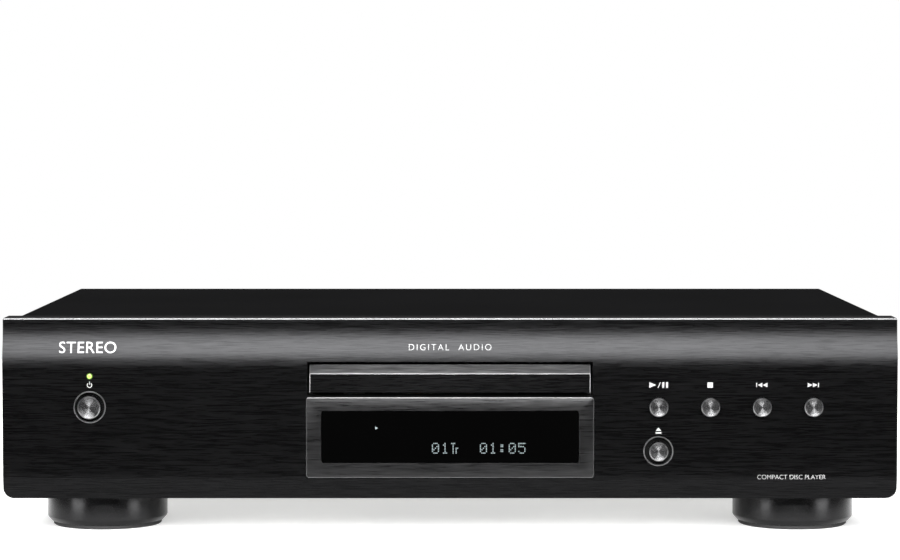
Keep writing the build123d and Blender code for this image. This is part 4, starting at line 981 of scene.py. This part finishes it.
def foot(name):
    """Turned foot with a softened rim, a chamfered lower edge and a recess for its pad."""
    radius = (high[name].x - low[name].x) / 2
    bottom, top = low[name].z, high[name].z
    recess = bottom + 0.6 * MM
    chamfer, soft, rim = 2.2 * MM, 0.35 * MM, 0.6 * MM
    profile = ((0, top - FOOT_WEB), (FOOT_BORE, top - FOOT_WEB), (FOOT_BORE, bottom),
               (FOOT_RECESS_IN, bottom), (FOOT_RECESS_IN, recess),
               (FOOT_RECESS_OUT, recess), (FOOT_RECESS_OUT, bottom), (radius - chamfer, bottom),
               (radius - chamfer + soft, bottom + 0.12 * MM), (radius - soft, bottom + chamfer - soft),
               (radius, bottom + chamfer + 0.3 * MM), (radius, top - rim),
               (radius - 0.3 * rim, top - 0.3 * rim), (radius - rim, top), (0, top))
    finish = turned_metal("turned_" + name, name, (0.026, 0.026, 0.0265), 0.26, "Z", 0.4 * MM)
    add(name + "_turned", lathed(middle[name], Z, profile, 144), finish, "chassis", "foot_metal", name)


def foot_pads():
    """Ring-shaped rubber pads."""
    height = high["foot_pads"].z
    inner, outer, soft = 21 * MM, 27.1 * MM, 0.4 * MM
    profile = ((inner, height), (inner, soft), (inner + soft, 0), (26.6 * MM, 0), (outer, 0.5 * MM),
               (outer, height), (inner, height))
    pads = [lathed(middle[name], Z, profile, 96) for name in FEET]
    add("foot_pad_rings", merged(*pads), rubber_finish, "chassis", "pad_rubber", "foot_pads")


# ---- finishes of the pieces that keep their shape ----
KEPT = {
    "chassis_base": zinc_finish, "rear_panel": rear_finish, "front_frame": black_plastic,
    "display_module": glass_finish, "front_board": green_board, "tact_switches": black_plastic,
    "foot_screws": steel_finish, "loader_frame": black_plastic, "disc_tray": tray_plastic,
    "clamp_bridge": zinc_finish, "clamp_puck": black_plastic, "drive_gear": gear_plastic,
    "pulley_gear": gear_plastic, "motor_pulley": gear_plastic, "loading_belt": rubber_finish,
    "loading_motor": steel_finish, "cam_slider": gear_plastic, "traverse_frame": zinc_finish,
    "guide_rods": polished_finish, "pickup_sled": black_plastic, "objective_lens": lens_finish,
    "turntable": black_plastic, "spindle_motor": steel_finish, "sled_motor": steel_finish,
    "sled_pinion": gear_plastic, "sled_gear": gear_plastic, "standoff_posts": brass_finish,
    "damper_bushes": rubber_finish, "main_board": green_board, "chassis_screws": steel_finish,
    "capacitors": sleeve_finish, "chips": chip_finish, "heat_sink": sink_finish,
    "transformer_core": core_finish, "transformer_windings": tape_finish, "rca_jacks": gold_finish,
    "optical_output": black_plastic, "ac_inlet": black_plastic,
}


def finish_kept_nodes():
    """Gives every node that keeps its shape its own material."""
    for name, finish in KEPT.items():
        mesh = frame["nodes"][name].data
        mesh.materials.clear()
        mesh.materials.append(finish)


# ---- studio ----
FLOOR_REACH = 1.5
FLOOR_DEPTH = 1.18
FLOOR_MIDDLE = 0.33


def floor():
    """Plain pale floor, lit a little from within as a light table is."""
    bm = bmesh.new()
    bmesh.ops.create_grid(bm, x_segments=1, y_segments=1, size=1)
    bmesh.ops.transform(bm, verts=bm.verts, matrix=Matrix.Translation((0, FLOOR_MIDDLE, 0))
                        @ Matrix.Diagonal((FLOOR_REACH, FLOOR_DEPTH / 2, 1, 1)))
    piece = solid("studio_floor", bm)
    finish = Finish("pale_floor")
    tone = finish.noise(finish.place(), 3, 2, 0.5)
    piece.data.materials.append(finish.done(base_color=finish.blend(tone, (0.79, 0.79, 0.79), (0.81, 0.81, 0.81)),
                                            roughness=0.9, specular_ior_level=0.1,
                                            emission_color=(1, 1, 1), emission_strength=0.45))


def softbox(name, place, aim, size, power, spread=180):
    """Rectangular light at a place, aimed at a point."""
    lamp = bpy.data.lights.new(name, "AREA")
    lamp.shape = "RECTANGLE"
    lamp.size, lamp.size_y = size
    lamp.energy = power
    lamp.spread = math.radians(spread)
    light = bpy.data.objects.new(name, lamp)
    bpy.context.scene.collection.objects.link(light)
    light.location = place
    light.rotation_euler = (Vector(aim) - Vector(place)).to_track_quat("-Z", "Y").to_euler()
    return light


def lights():
    """Overhead light, a long strip in front for the brow, side boxes for the feet and a light on the floor behind."""
    softbox("overhead_box", (0, 0.1, 2.2), (0, 0.1, 0), (3.2, 2.4), 13)
    softbox("brow_strip", (0, -1.2, 0.64), (0, face_y, 0.09), (1.3, 0.66), 12.7, 70)
    for side in (-1, 1):
        softbox("side_box", (side * 1.35, -1.0, 0.36), (0, 0, 0.05), (0.6, 0.7), 12)
    softbox("floor_box", (0, 0.8, 1.3), (0, 0.62, 0), (3.0, 0.7), 14, 110)


def world():
    """White to the camera and dim to everything else."""
    sky = bpy.data.worlds.new("studio")
    bpy.context.scene.world = sky
    backdrop = Finish(sky)
    seen = backdrop.node("ShaderNodeBackground", None, {0: (1, 1, 1)})
    dim = backdrop.node("ShaderNodeBackground", None, {0: (0.05, 0.05, 0.052)})
    by_camera = backdrop.node("ShaderNodeLightPath", out="Is Camera Ray")
    either = backdrop.node("ShaderNodeMixShader", None, {0: by_camera, 1: dim, 2: seen})
    backdrop.node("ShaderNodeOutputWorld", None, {0: either})


CAMERA_DISTANCE = 1.4096
CAMERA_HEIGHT = 0.2026
CAMERA_PITCH = 3.132
CAMERA_LENS = 116.75


def camera():
    """Long lens, level with the object's middle line and a little above it."""
    eye = bpy.data.cameras.new("camera")
    eye.lens = CAMERA_LENS
    eye.sensor_width = 36
    eye.clip_end = 100
    seat = bpy.data.objects.new("camera", eye)
    bpy.context.scene.collection.objects.link(seat)
    seat.location = (0, face_y - CAMERA_DISTANCE, CAMERA_HEIGHT)
    seat.rotation_euler = (math.radians(90 - CAMERA_PITCH), 0, 0)
    bpy.context.scene.camera = seat


camera()
world()
lights()
floor()
finish_kept_nodes()
front_panel()
for button in (*TRANSPORT, "eject_button", "power_button"):
    button_cap(button)
for ring in ("power_ring", "eject_ring"):
    trim_ring(ring)
power_lamp()
display_bezel()
display_window()
display_glyphs()
tray_door()
symbols()
power_sign()
wording()
top_cover()
cover_screws()
for name in FEET:
    foot(name)
foot_pads()
bpy.context.scene.view_settings.view_transform = "Standard"
